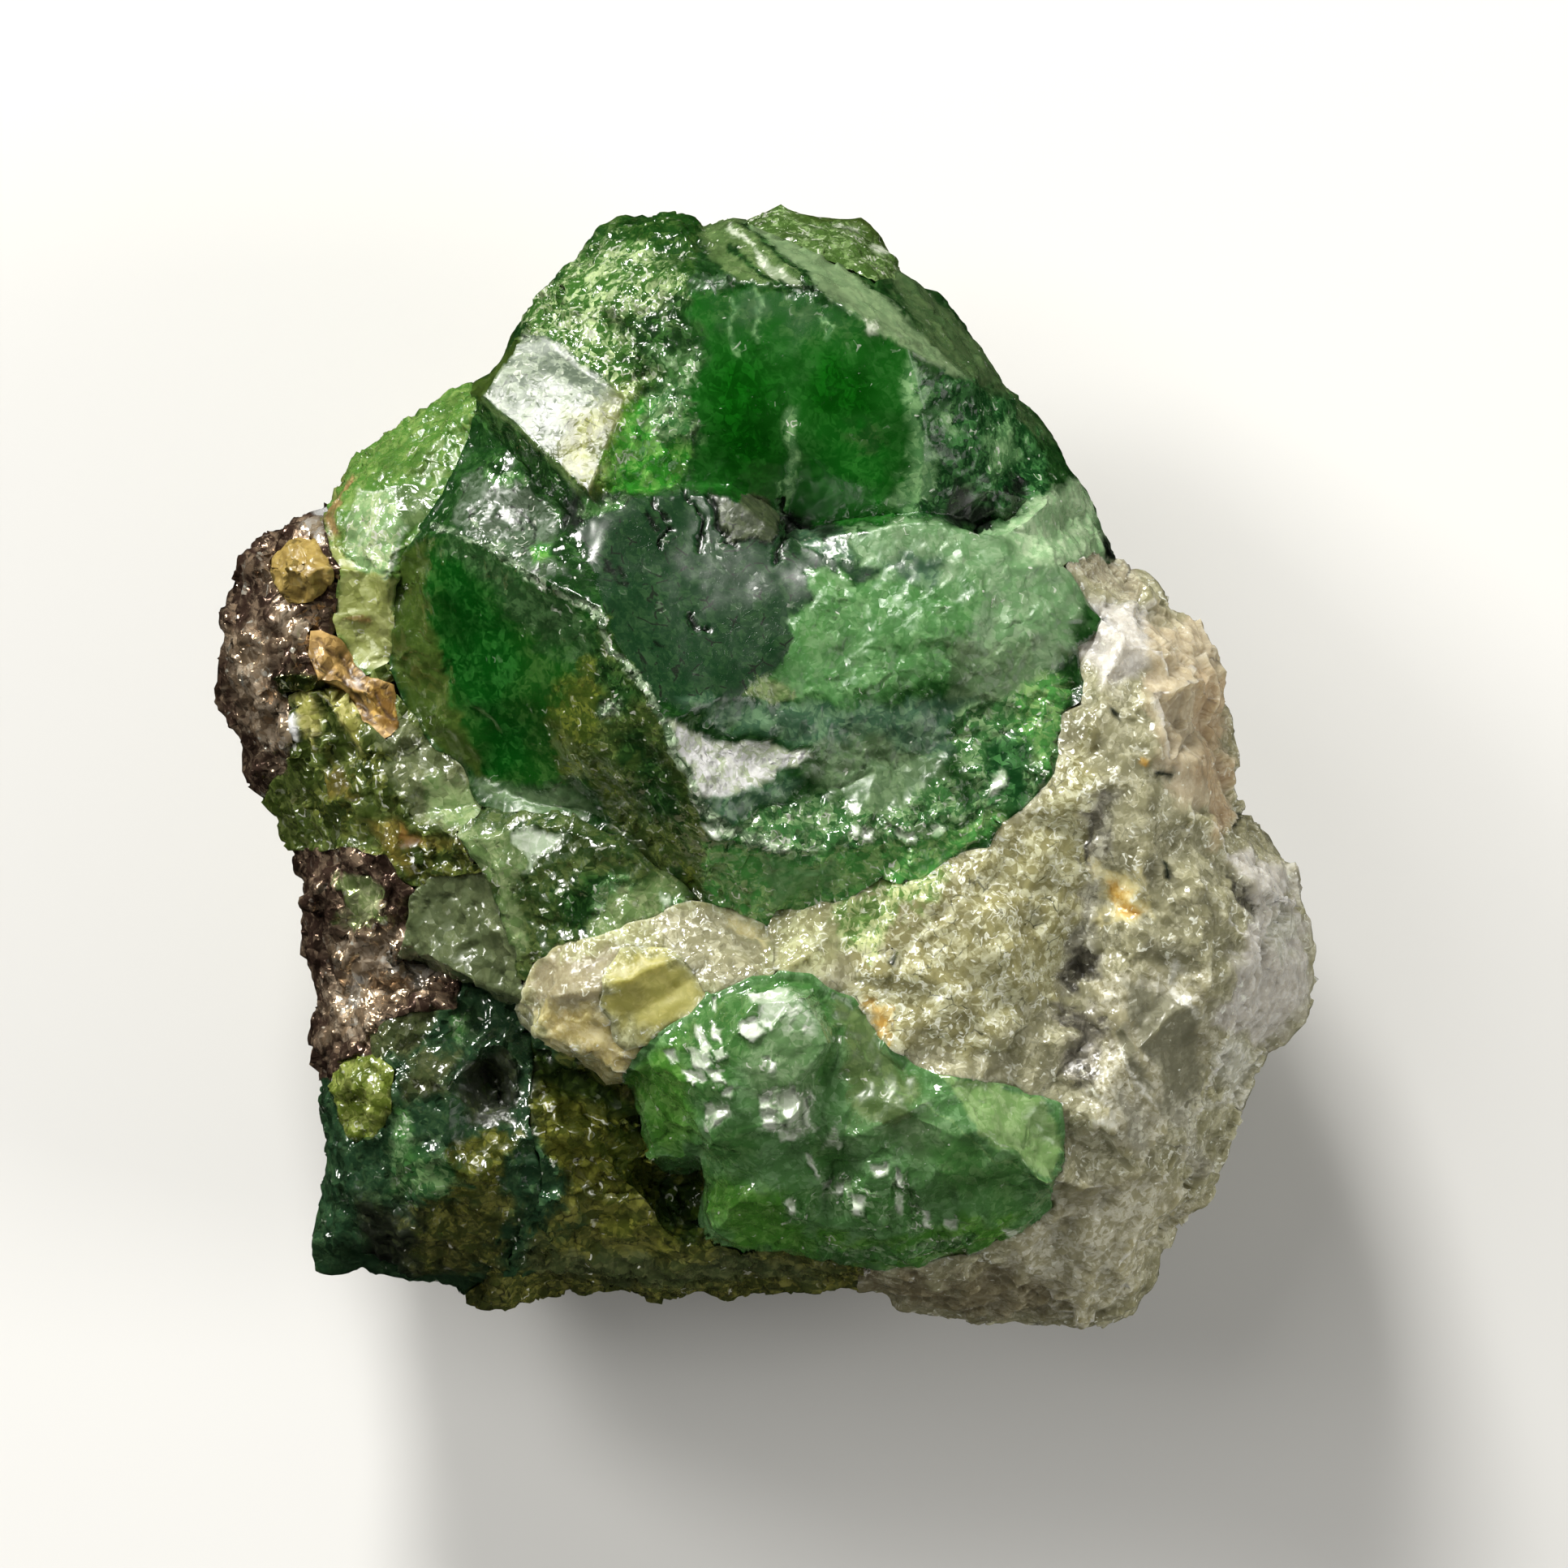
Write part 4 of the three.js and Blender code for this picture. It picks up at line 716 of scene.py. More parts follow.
class Marks:
    """The shader group that every finish shares: flecks, bright specks and strokes (painted glints, partly pale
    inclusions), and dark hairlines.
    """

    NAME = "stone marks"
    VALUES = ("Share", "Sparks", "Cracks", "Gloss", "Frost", "Flakes", "Fineness")

    # How many of each there are per metre.
    FLAKES = 3300.0
    NEEDLES = 10000.0
    PATCHES = 620.0
    GRAINS = 1500.0
    STROKES = 2300.0
    HAIRLINES = 1300.0

    LONG = (1.0, 0.32, 0.65)  # stretches the needles
    DEEPER = (0.48, 0.47, 0.44)  # darkens the body colour
    # The colour of the bright specks and strokes: painted glints.
    BRIGHT = (0.86, 0.88, 0.78, 1.0)
    DARK = (0.006, 0.01, 0.005, 1.0)

    @classmethod
    def group(cls) -> bpy.types.NodeTree:
        """Builds the group once.

        Returns:
            The node group.
        """
        made = bpy.data.node_groups.get(cls.NAME)
        if made is not None:
            return made
        tree = bpy.data.node_groups.new(cls.NAME, "ShaderNodeTree")
        for way, kind, names in (
            ("INPUT", "NodeSocketColor", ("Body", "Fleck")), ("INPUT", "NodeSocketFloat", cls.VALUES),
            ("OUTPUT", "NodeSocketColor", ("Colour",)), ("OUTPUT", "NodeSocketFloat", ("Gloss", "Height")),
        ):
            for name in names:
                tree.interface.new_socket(name, in_out=way, socket_type=kind)
        cls(Wiring(tree)).wire()
        return tree

    def __init__(self, w: Wiring) -> None:
        """Makes the patterns that the marks share.

        Args:
            w: the wiring helper of the group's tree.
        """
        self.w = w
        self.given = w.node("NodeGroupInput").outputs
        self.where = w.node("ShaderNodeTexCoord").outputs["Object"]
        self.flake = w.voronoi(self.where, self.scale(self.FLAKES))
        self.turned = w.turn(self.where, w.times(self.flake.random, 6.28), self.LONG)
        self.needle = w.voronoi(self.turned, self.scale(self.NEEDLES))
        patches = w.ramp(w.noise(self.where, self.scale(self.PATCHES), 3.0, 0.6), 0.42, 0.58)
        self.lively = w.plus(w.times(patches, 0.85), 0.2)
        self.grain = w.noise(self.where, self.scale(self.GRAINS), 5.0, 0.62)

    def wire(self) -> None:
        """Links the marks to the group's outputs."""
        out = self.w.node("NodeGroupOutput").inputs
        w = self.w
        w.link(self.height(), out["Height"])
        colour = w.mix(w.times(self.sparks(), 0.8), self.flecked(), self.BRIGHT)
        w.link(w.mix(self.hairlines(), colour, self.DARK), out["Colour"])
        gloss = w.plus(self.given["Gloss"], w.times(w.maths("SUBTRACT", self.grain, 0.5), 0.3))
        w.link(w.maths("MAXIMUM", gloss, 0.06), out["Gloss"])

    def scale(self, number: float) -> bpy.types.NodeSocket:
        """A pattern's scale, from its number per metre and the fineness of the mineral."""
        return self.w.times(self.given["Fineness"], number)

    def plane(self, where: bpy.types.NodeSocket, cells: Cells) -> bpy.types.NodeSocket:
        """The height of a flat face in each cell, with a tilt of its own."""
        away = self.w.vector("SUBTRACT", where, cells.heart)
        return self.w.vector("DOT_PRODUCT", away, self.w.vector("SUBTRACT", cells.colour, (0.5, 0.5, 0.5)))

    def height(self) -> bpy.types.NodeSocket:
        """The finest relief: tilted needles where it is frosty, and larger tilted flakes.

        Returns:
            The height's socket.
        """
        w = self.w
        uneven = w.times(w.ramp(self.flake.distance, 0.8, 0.2), w.ramp(self.needle.random, 0.35, 0.95))
        frost = w.times(w.times(w.plus(uneven, 0.1), w.times(self.given["Frost"], 2.9)), self.lively)
        strong = w.times(w.times(self.given["Flakes"], 7.0), self.lively)
        needles = w.times(self.plane(self.turned, self.needle), frost)
        return w.plus(needles, w.times(self.plane(self.where, self.flake), strong))

    def flecked(self) -> bpy.types.NodeSocket:
        """The body colour with its flecks and deeper patches.

        Returns:
            The colour's socket.
        """
        w = self.w
        blend = w.plus(w.times(self.needle.random, 0.18), w.times(self.flake.random, 0.22))
        blend = w.plus(blend, w.times(self.grain, 0.6))
        share = w.times(w.maths("SUBTRACT", self.given["Share"], 0.5), 0.4)
        colour = w.mix(w.ramp(w.plus(blend, share), 0.38, 0.62), self.given["Body"], self.given["Fleck"])
        deeper = w.vector("MULTIPLY", self.given["Body"], self.DEEPER)
        patches = w.ramp(w.noise(self.where, self.PATCHES, 3.0, 0.6), 0.5, 0.3)
        return w.mix(w.times(patches, 0.55), colour, deeper)

    def sparks(self) -> bpy.types.NodeSocket:
        """Where the bright specks and strokes are: painted glints, partly pale inclusions.

        Returns:
            The mask's socket.
        """
        w = self.w
        chosen = w.plus(self.needle.random, w.times(self.given["Sparks"], 0.07))
        specks = w.times(w.maths("GREATER_THAN", chosen, 1.0), w.ramp(self.needle.distance, 0.46, 0.3))
        field = w.noise(w.bend(self.where, 2600.0, 0.0003), self.scale(self.STROKES), 1.0, 0.5)
        strokes = w.ramp(w.maths("ABSOLUTE", w.maths("SUBTRACT", field, 0.5), 0.0), 0.042, 0.012)
        chosen = w.plus(self.flake.random, w.times(self.given["Sparks"], 0.55))
        strokes = w.times(strokes, w.ramp(chosen, 0.97, 1.05))
        return w.maths("MAXIMUM", specks, w.times(strokes, self.lively))

    def hairlines(self) -> bpy.types.NodeSocket:
        """Where the dark hairlines are.

        Returns:
            The mask's socket.
        """
        w = self.w
        lines = w.borders(w.bend(self.where, 900.0, 0.0004), self.scale(self.HAIRLINES))
        patch = w.times(w.ramp(self.grain, 0.52, 0.62), self.given["Cracks"])
        return w.maths("MINIMUM", w.times(w.times(w.ramp(lines, 0.045, 0.012), patch), 2.5), 0.85)


@dataclass(frozen=True)
class Mineral:
    """The optics of one mineral. Lengths are in metres."""

    name: str
    ior: float
    fineness: float = 1.0
    transmission: float = 0.0
    cloud: float = 0.0  # how much of the light wanders below the surface
    absorbs: Triple = (1.0, 1.0, 1.0)  # the colour that a deep piece lets through
    density: float = 0.0  # how fast it absorbs, per metre
    metallic: float = 0.0

    def material(self) -> bpy.types.Material:
        """Builds the material, which reads the finish of each vertex.

        Returns:
            The material.
        """
        made = bpy.data.materials.new(self.name)
        made.use_nodes = True
        tree = made.node_tree
        shader = tree.nodes["Principled BSDF"]
        w = Wiring(tree)
        marks = w.node("ShaderNodeGroup")
        marks.node_tree = Marks.group()
        marks.inputs["Fineness"].default_value = self.fineness
        for name in ("Body", "Fleck"):
            source = w.node("ShaderNodeAttribute")
            source.attribute_name = name.lower()
            w.link(source.outputs["Color"], marks.inputs[name])
        for attribute, names in (("grade", ("Share", "Sparks", "Cracks")), ("sheen", ("Gloss", "Frost", "Flakes"))):
            source = w.node("ShaderNodeAttribute")
            source.attribute_name = attribute
            apart = w.node("ShaderNodeSeparateColor")
            w.link(source.outputs["Color"], apart.inputs[0])
            for k, name in enumerate(names):
                w.link(apart.outputs[k], marks.inputs[name])
        bump = w.node("ShaderNodeBump")
        bump.inputs["Distance"].default_value = 1.0
        bump.inputs["Strength"].default_value = 1.0
        w.link(marks.outputs["Height"], bump.inputs["Height"])
        w.link(marks.outputs["Colour"], shader.inputs["Base Color"])
        w.link(marks.outputs["Gloss"], shader.inputs["Roughness"])
        w.link(bump.outputs["Normal"], shader.inputs["Normal"])
        shader.inputs["IOR"].default_value = self.ior
        shader.inputs["Metallic"].default_value = self.metallic
        shader.inputs["Transmission Weight"].default_value = self.transmission
        shader.inputs["Subsurface Weight"].default_value = self.cloud
        shader.inputs["Subsurface Radius"].default_value = (1.0, 0.95, 0.8)
        shader.inputs["Subsurface Scale"].default_value = 0.9 * MM
        if self.density > 0.0:
            inside = w.node("ShaderNodeVolumeAbsorption")
            inside.inputs["Color"].default_value = (*self.absorbs, 1.0)
            inside.inputs["Density"].default_value = self.density
            w.link(inside.outputs[0], tree.nodes["Material Output"].inputs["Volume"])
        return made


class Minerals(Enum):
    """The minerals of the stone."""

    TSAVORITE = Mineral("tsavorite", 1.74, 1.2, 0.35, 0.0, (0.1, 0.85, 0.3), 300.0)
    PALE_TSAVORITE = Mineral("pale tsavorite", 1.74, 1.2, 0.35, 0.0, (0.5, 0.9, 0.4), 200.0)
    DIOPSIDE = Mineral("diopside", 1.68, 1.0, 0.2, 0.3, (0.65, 0.75, 0.4), 300.0)
    QUARTZ = Mineral("quartz", 1.55, 1.35, 0.12, 0.75, (0.85, 0.82, 0.7), 150.0)
    GRAPHITE = Mineral("graphite schist", 1.6, 0.9, metallic=0.7)
    HOST = Mineral("weathered host rock", 1.6, 0.9)


@dataclass
class Neighbours:
    """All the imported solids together, to tell which faces of a grain touch the rock around it."""

    reach: float = 0.6  # how near the next grain is where they touch, in mm
    ahead: float = 0.02  # how far in front of a face the search starts, in mm
    tree: BVHTree = field(init=False)

    def __post_init__(self) -> None:
        """Gathers the triangles of every solid."""
        points: list[Vector] = []
        faces: list[tuple[int, ...]] = []
        for name in sorted(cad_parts):
            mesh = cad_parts[name].data
            start = len(points)
            points.extend(v.co / MM for v in mesh.vertices)
            faces.extend(tuple(start + i for i in p.vertices) for p in mesh.polygons)
        self.tree = BVHTree.FromPolygons(points, faces)

    def touched(self, centre: np.ndarray, normal: np.ndarray) -> bool:
        """Whether another surface lies close in front of a face, given its middle in mm and its normal."""
        start = Vector(centre + normal * self.ahead)
        return self.tree.ray_cast(start, Vector(normal), self.reach)[0] is not None


@dataclass
class Grain:
    """One grain of the stone: a finer copy of its solid, broken and coloured as the real surface."""

    FIRST_EDGE = 1.0  # longest edge in mm while the touching faces are found
    ROUNDS = (5, 7)  # the most rounds of splitting, then and afterwards
    UPRIGHT = 0.3  # where the normal's level part is shorter, the grain doesn't grow outward

    node: str
    mineral: Minerals
    base: Skin
    zones: Zones = ()
    fine: float = 0.15  # longest edge on the face in mm
    coarse: float = 0.34  # longest edge on the sides
    crease: float = 24.0  # sharper edges stay sharp, in degrees
    smoothing: int = 14  # rounds of smoothing between the creases
    facet_size: float = 0.55  # width of the small tilted planes in mm
    lump_size: float = 1.1  # width of the smooth lumps in mm
    swell_size: float = 3.4  # width of the broad swells on the sides in mm
    dent_size: float = 1.5  # width of the smaller ones between them
    bulge: float = 0.12  # height of broad swells on the sides in mm
    calm: tuple[Outline, ...] = ()  # areas without creases
    sharp: float = 32.0  # edges sharper than this are shaded sharp, in degrees
    join: float = 0.115  # how far it grows into the gap around it in mm
    fade: tuple[float, float] = (6.5, 9.0)  # the heights in mm between which the zones come in

    def build(self, neighbours: Neighbours) -> bpy.types.Object:
        """Makes the piece, dresses it and puts it in the place of its node.

        Args:
            neighbours: the solids around it.

        Returns:
            The finished piece.
        """
        piece = self.copied()
        first, later = self.ROUNDS
        self.refine(piece, lambda lengths, visible, lofty: lengths > self.FIRST_EDGE, first)
        self.mark_touched(piece, neighbours)
        limits = (self.fine, self.coarse)
        self.refine(piece, lambda lengths, visible, lofty: visible & (lengths > np.where(lofty, *limits)), later)
        self.dress(piece, self.shape(piece))
        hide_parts(self.node)
        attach(piece, "root")
        return piece

    def copied(self) -> bpy.types.Object:
        """A merged copy of the solid's mesh.

        Returns:
            The new object.
        """
        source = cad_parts[self.node]
        mesh = source.data.copy()
        mesh.materials.clear()
        piece = bpy.data.objects.new(self.node + "_stone", mesh)
        bpy.context.collection.objects.link(piece)
        self.choose(piece)
        bpy.ops.object.mode_set(mode="EDIT")
        bpy.ops.mesh.select_all(action="SELECT")
        bpy.ops.mesh.remove_doubles(threshold=2e-7)
        bpy.ops.mesh.quads_convert_to_tris(quad_method="BEAUTY", ngon_method="BEAUTY")
        bpy.ops.object.mode_set(mode="OBJECT")
        return piece

    @staticmethod
    def choose(piece: bpy.types.Object) -> None:
        """Selects one object and makes it active.

        Args:
            piece: the object.
        """
        bpy.ops.object.select_all(action="DESELECT")
        piece.select_set(True)
        bpy.context.view_layer.objects.active = piece

    def refine(self, piece: bpy.types.Object, wanted: Wanted, rounds: int) -> None:
        """Splits long edges until none is wanted any more.

        Args:
            piece: the piece.
            wanted: a test of edges, from their lengths in mm, whether they are seen and whether they look up.
            rounds: the most rounds of splitting.
        """
        for _ in range(rounds):
            lattice = Lattice(piece.data)
            chosen = wanted(lattice.lengths(), lattice.visible_edges(), lattice.lofty_edges(self.fade[0]))
            if not chosen.any():
                return
            picked = np.zeros(len(lattice.points), dtype=bool)
            picked[lattice.edges[chosen].ravel()] = True
            piece.data.polygons.foreach_set("select", np.zeros(len(piece.data.polygons), dtype=bool))
            piece.data.edges.foreach_set("select", chosen)
            piece.data.vertices.foreach_set("select", picked)
            bpy.context.tool_settings.mesh_select_mode = (False, True, False)
            bpy.ops.object.mode_set(mode="EDIT")
            bpy.ops.mesh.subdivide(number_cuts=1, ngon=False)
            bpy.ops.mesh.select_all(action="SELECT")
            bpy.ops.mesh.quads_convert_to_tris(quad_method="SHORTEST_DIAGONAL", ngon_method="BEAUTY")
            bpy.ops.object.mode_set(mode="OBJECT")

    def mark_touched(self, piece: bpy.types.Object, neighbours: Neighbours) -> None:
        """Marks the faces that touch the rock around the grain, or that it stands on.

        Args:
            piece: the piece.
            neighbours: the solids around it.
        """
        lattice = Lattice(piece.data)
        centres = lattice.points[lattice.triangles].mean(axis=1)
        marks = np.zeros(len(centres), dtype=np.int32)
        for i, (centre, normal) in enumerate(zip(centres, lattice.face_normals())):
            marks[i] = 1 if neighbours.touched(centre, normal) else 0
        marks[centres[:, 2] < FOOT] = 1
        piece.data.polygons.foreach_set("material_index", marks)

    def shape(self, piece: bpy.types.Object) -> np.ndarray:
        """Closes the gap to the neighbours, rounds what lies between the creases, and breaks the surface.

        Args:
            piece: the piece.

        Returns:
            The finish of each vertex, as one row of numbers.
        """
        lattice = Lattice(piece.data)
        hidden = lattice.marks == 1
        outward, touching = lattice.vertex_normals(hidden)
        outward[:, 2] = 0.0
        size = np.linalg.norm(outward, axis=1, keepdims=True)
        outward = np.divide(outward, size, out=np.zeros_like(outward), where=size > self.UPRIGHT)
        standing = lattice.points[:, 2] < FOOT
        points = lattice.points + outward * self.join * (~standing)[:, None]
        calm = self.calm_at(points)
        points = lattice.smoothed(points, self.crease, self.smoothing, touching | standing, calm)
        rows, raised, level = Coat(points, self.base).rows(self.zones, self.fade)
        lattice.points = points + self.drift(points)
        normals, seen = lattice.vertex_normals(~hidden)
        amount = raised + self.relief(points, normals, rows)
        moved = lattice.points + normals * np.where(seen, amount, 0.0)[:, None]
        moved[:, 2] += level
        moved[:, 2] = np.where(standing, 0.0, np.maximum(moved[:, 2], 0.0))
        piece.data.vertices.foreach_set("co", (moved * MM).ravel())
        piece.data.polygons.foreach_set("material_index", np.zeros(len(lattice.marks), dtype=np.int32))
        piece.data.update()
        return rows

    def calm_at(self, points: np.ndarray) -> np.ndarray:
        """Which vertices lie in an area without creases.

        Args:
            points: the vertices in mm.

        Returns:
            True for each such vertex.
        """
        calm = np.zeros(len(points), dtype=bool)
        for outline in self.calm:
            calm |= Coat.depth(Zone(self.base, outline), on_grid(points)) > 0.0
        return calm & (points[:, 2] > self.fade[0])

    @staticmethod
    def drift(points: np.ndarray) -> np.ndarray:
        """How far the whole stone's surface is pulled out of the solids' straight lines, the same for each grain.

        Args:
            points: places in mm.

        Returns:
            One move in mm for each place.
        """
        clean = smoothstep(-20.0, 30.0, Coat.depth(Zone(Skin.GREEN, CLEAN_FACES), on_grid(points)))
        reach = (DRIFT - (DRIFT - CLEAN_DRIFT) * clean) * smoothstep(0.0, 2.0, points[:, 2])
        moves = [Fracture.rough(points, 1.3, 3, seed) for seed in (900, 930, 960)]
        return np.stack(moves, axis=1) * reach[:, None] * np.array([1.0, 1.0, 0.6])

    def relief(self, points: np.ndarray, normals: np.ndarray, rows: np.ndarray) -> np.ndarray:
        """The height of the broken surface over the smoothed one.

        Args:
            points: the vertices in mm.
            normals: their normals.
            rows: their finishes.

        Returns:
            One height in mm for each vertex.
        """
        planes = Fracture.facets(points, self.facet_size, 5)
        planes = planes + 0.3 * Fracture.facets(points, 0.6 * self.facet_size, 7)
        lumps = Fracture.rough(points, self.lump_size, 3, 60)
        side = 1.0 - smoothstep(0.25, 0.6, normals[:, 2])
        low = 1.0 - smoothstep(self.fade[0], self.fade[1] + 1.0, points[:, 2])
        broad = Fracture.facets(points, self.swell_size, 80) + 0.6 * Fracture.facets(points, self.dent_size, 90)
        foot = smoothstep(0.0, 1.2, points[:, 2])
        sides = self.bulge * broad * np.maximum(side, low) * foot
        return planes * rows[:, Finish.FACETS] + lumps * rows[:, Finish.LUMPS] + sides

    def dress(self, piece: bpy.types.Object, rows: np.ndarray) -> None:
        """Writes the finishes onto the vertices and gives the piece its material.

        Args:
            piece: the piece.
            rows: the finish of each vertex.
        """
        mesh = piece.data
        ones = np.ones((len(rows), 1))
        for k, name in enumerate(("body", "fleck", "grade", "sheen")):
            attribute = mesh.attributes.new(name, "FLOAT_COLOR", "POINT")
            values = np.hstack([rows[:, 3 * k : 3 * k + 3], ones])
            attribute.data.foreach_set("color", values.astype(np.float32).ravel())
        mesh.materials.append(self.mineral.value.material())
        self.choose(piece)
        bpy.ops.object.shade_smooth_by_angle(angle=math.radians(self.sharp))


@dataclass
class Lattice:
    """The points, edges and triangles of a mesh as arrays, in mm."""

    LOOKS_UP = 0.12  # a triangle looks up where its normal rises more than this

    mesh: bpy.types.Mesh
    points: np.ndarray = field(init=False)
    edges: np.ndarray = field(init=False)  # the two points of each edge
    triangles: np.ndarray = field(init=False)  # the three points of each triangle
    sides: np.ndarray = field(init=False)  # the three edges of each triangle
    marks: np.ndarray = field(init=False)  # 1 for each hidden triangle

    def __post_init__(self) -> None:
        """Reads the mesh."""
        mesh = self.mesh
        self.points = np.empty(len(mesh.vertices) * 3, dtype=np.float32)
        mesh.vertices.foreach_get("co", self.points)
        self.points = self.points.reshape(-1, 3).astype(np.float64) / MM
        self.edges = np.empty(len(mesh.edges) * 2, dtype=np.int32)
        mesh.edges.foreach_get("vertices", self.edges)
        self.edges = self.edges.reshape(-1, 2)
        corners = np.empty(len(mesh.loops), dtype=np.int32)
        mesh.loops.foreach_get("vertex_index", corners)
        self.triangles = corners.reshape(-1, 3)
        sides = np.empty(len(mesh.loops), dtype=np.int32)
        mesh.loops.foreach_get("edge_index", sides)
        self.sides = sides.reshape(-1, 3)
        self.marks = np.empty(len(mesh.polygons), dtype=np.int32)
        mesh.polygons.foreach_get("material_index", self.marks)

    def lengths(self) -> np.ndarray:
        """The length of each edge in mm."""
        return np.linalg.norm(self.points[self.edges[:, 0]] - self.points[self.edges[:, 1]], axis=1)

    def face_normals(self, scaled: bool = False) -> np.ndarray:
        """The normal of each triangle.

        Args:
            scaled: leaves each normal as long as twice the triangle's area.

        Returns:
            One row for each triangle.
        """
        a, b, c = (self.points[self.triangles[:, k]] for k in range(3))
        normal = np.cross(b - a, c - a)
        if scaled:
            return normal
        return normal / np.maximum(np.linalg.norm(normal, axis=1, keepdims=True), 1e-12)

    def visible_edges(self) -> np.ndarray:
        """Whether each edge has a face that is seen.

        Returns:
            True for each such edge.
        """
        seen = np.zeros(len(self.edges), dtype=bool)
        seen[self.sides[self.marks == 0].ravel()] = True
        return seen

    def lofty_edges(self, floor: float) -> np.ndarray:
        """Whether each edge lies on the face of the stone.

        Args:
            floor: the lowest height in mm that counts.

        Returns:
            True for each edge that has a face that looks up.
        """
        high = self.points[self.triangles][:, :, 2].mean(axis=1) > floor
        looks_up = high & (self.face_normals()[:, 2] > self.LOOKS_UP)
        lofty = np.zeros(len(self.edges), dtype=bool)
        lofty[self.sides[looks_up & (self.marks == 0)].ravel()] = True
        return lofty

    def vertex_normals(self, faces: np.ndarray) -> tuple[np.ndarray, np.ndarray]:
        """The mean normal at each vertex over some of the faces.

        Args:
            faces: which faces count.

        Returns:
            The normals, and which vertices have such a face.
        """
        scaled = self.face_normals(scaled=True)[faces]
        corners = self.triangles[faces]
        total = np.zeros_like(self.points)
        for axis in range(3):
            weights = np.repeat(scaled[:, axis], 3)
            total[:, axis] = np.bincount(corners.ravel(), weights, minlength=len(self.points))
        size = np.linalg.norm(total, axis=1, keepdims=True)
        has = np.bincount(corners.ravel(), minlength=len(self.points)) > 0
        return np.divide(total, size, out=np.zeros_like(total), where=size > 1e-12), has

    def creases(self, degrees: float) -> np.ndarray:
        """Which edges are sharper than an angle.

        Args:
            degrees: the angle between the faces' normals.

        Returns:
            True for each sharp edge.
        """
        normals = self.face_normals()
        order = np.argsort(self.sides.ravel(), kind="stable")
        owner = (order // 3).reshape(-1, 2)
        return np.einsum("ij,ij->i", normals[owner[:, 0]], normals[owner[:, 1]]) < math.cos(math.radians(degrees))

    def smoothed(
        self, points: np.ndarray, degrees: float, rounds: int, fixed: np.ndarray, calm: np.ndarray
    ) -> np.ndarray:
        """Rounds the surface between its creases and draws each crease smooth along itself.

        Args:
            points: the places to smooth.
            degrees: edges sharper than this stay sharp.
            rounds: how many rounds to do.
            fixed: which vertices stay.
            calm: which vertices lie where no edge stays sharp.

        Returns:
            The new places.
        """
        sharp = self.creases(degrees) & ~calm[self.edges].all(axis=1)
        count = np.bincount(self.edges[sharp].ravel(), minlength=len(points))
        on_crease = count > 0
        hold = fixed | (on_crease & (count != 2))
        a, b = self.edges[:, 0], self.edges[:, 1]
        to_a = ~on_crease[a] | sharp
        to_b = ~on_crease[b] | sharp
        target = np.concatenate([a[to_a], b[to_b]])
        source = np.concatenate([b[to_a], a[to_b]])
        number = np.maximum(np.bincount(target, minlength=len(points)), 1)[:, None]
        places = points.copy()
        for turn in range(rounds + (CALM_ROUNDS if calm.any() else 0)):
            total = np.stack(
                [np.bincount(target, places[source, axis], minlength=len(places)) for axis in range(3)], axis=1
            )
            moves = ~hold if turn < rounds else calm & ~hold
            places = np.where(moves[:, None], places + 0.5 * (total / number - places), places)
        return places


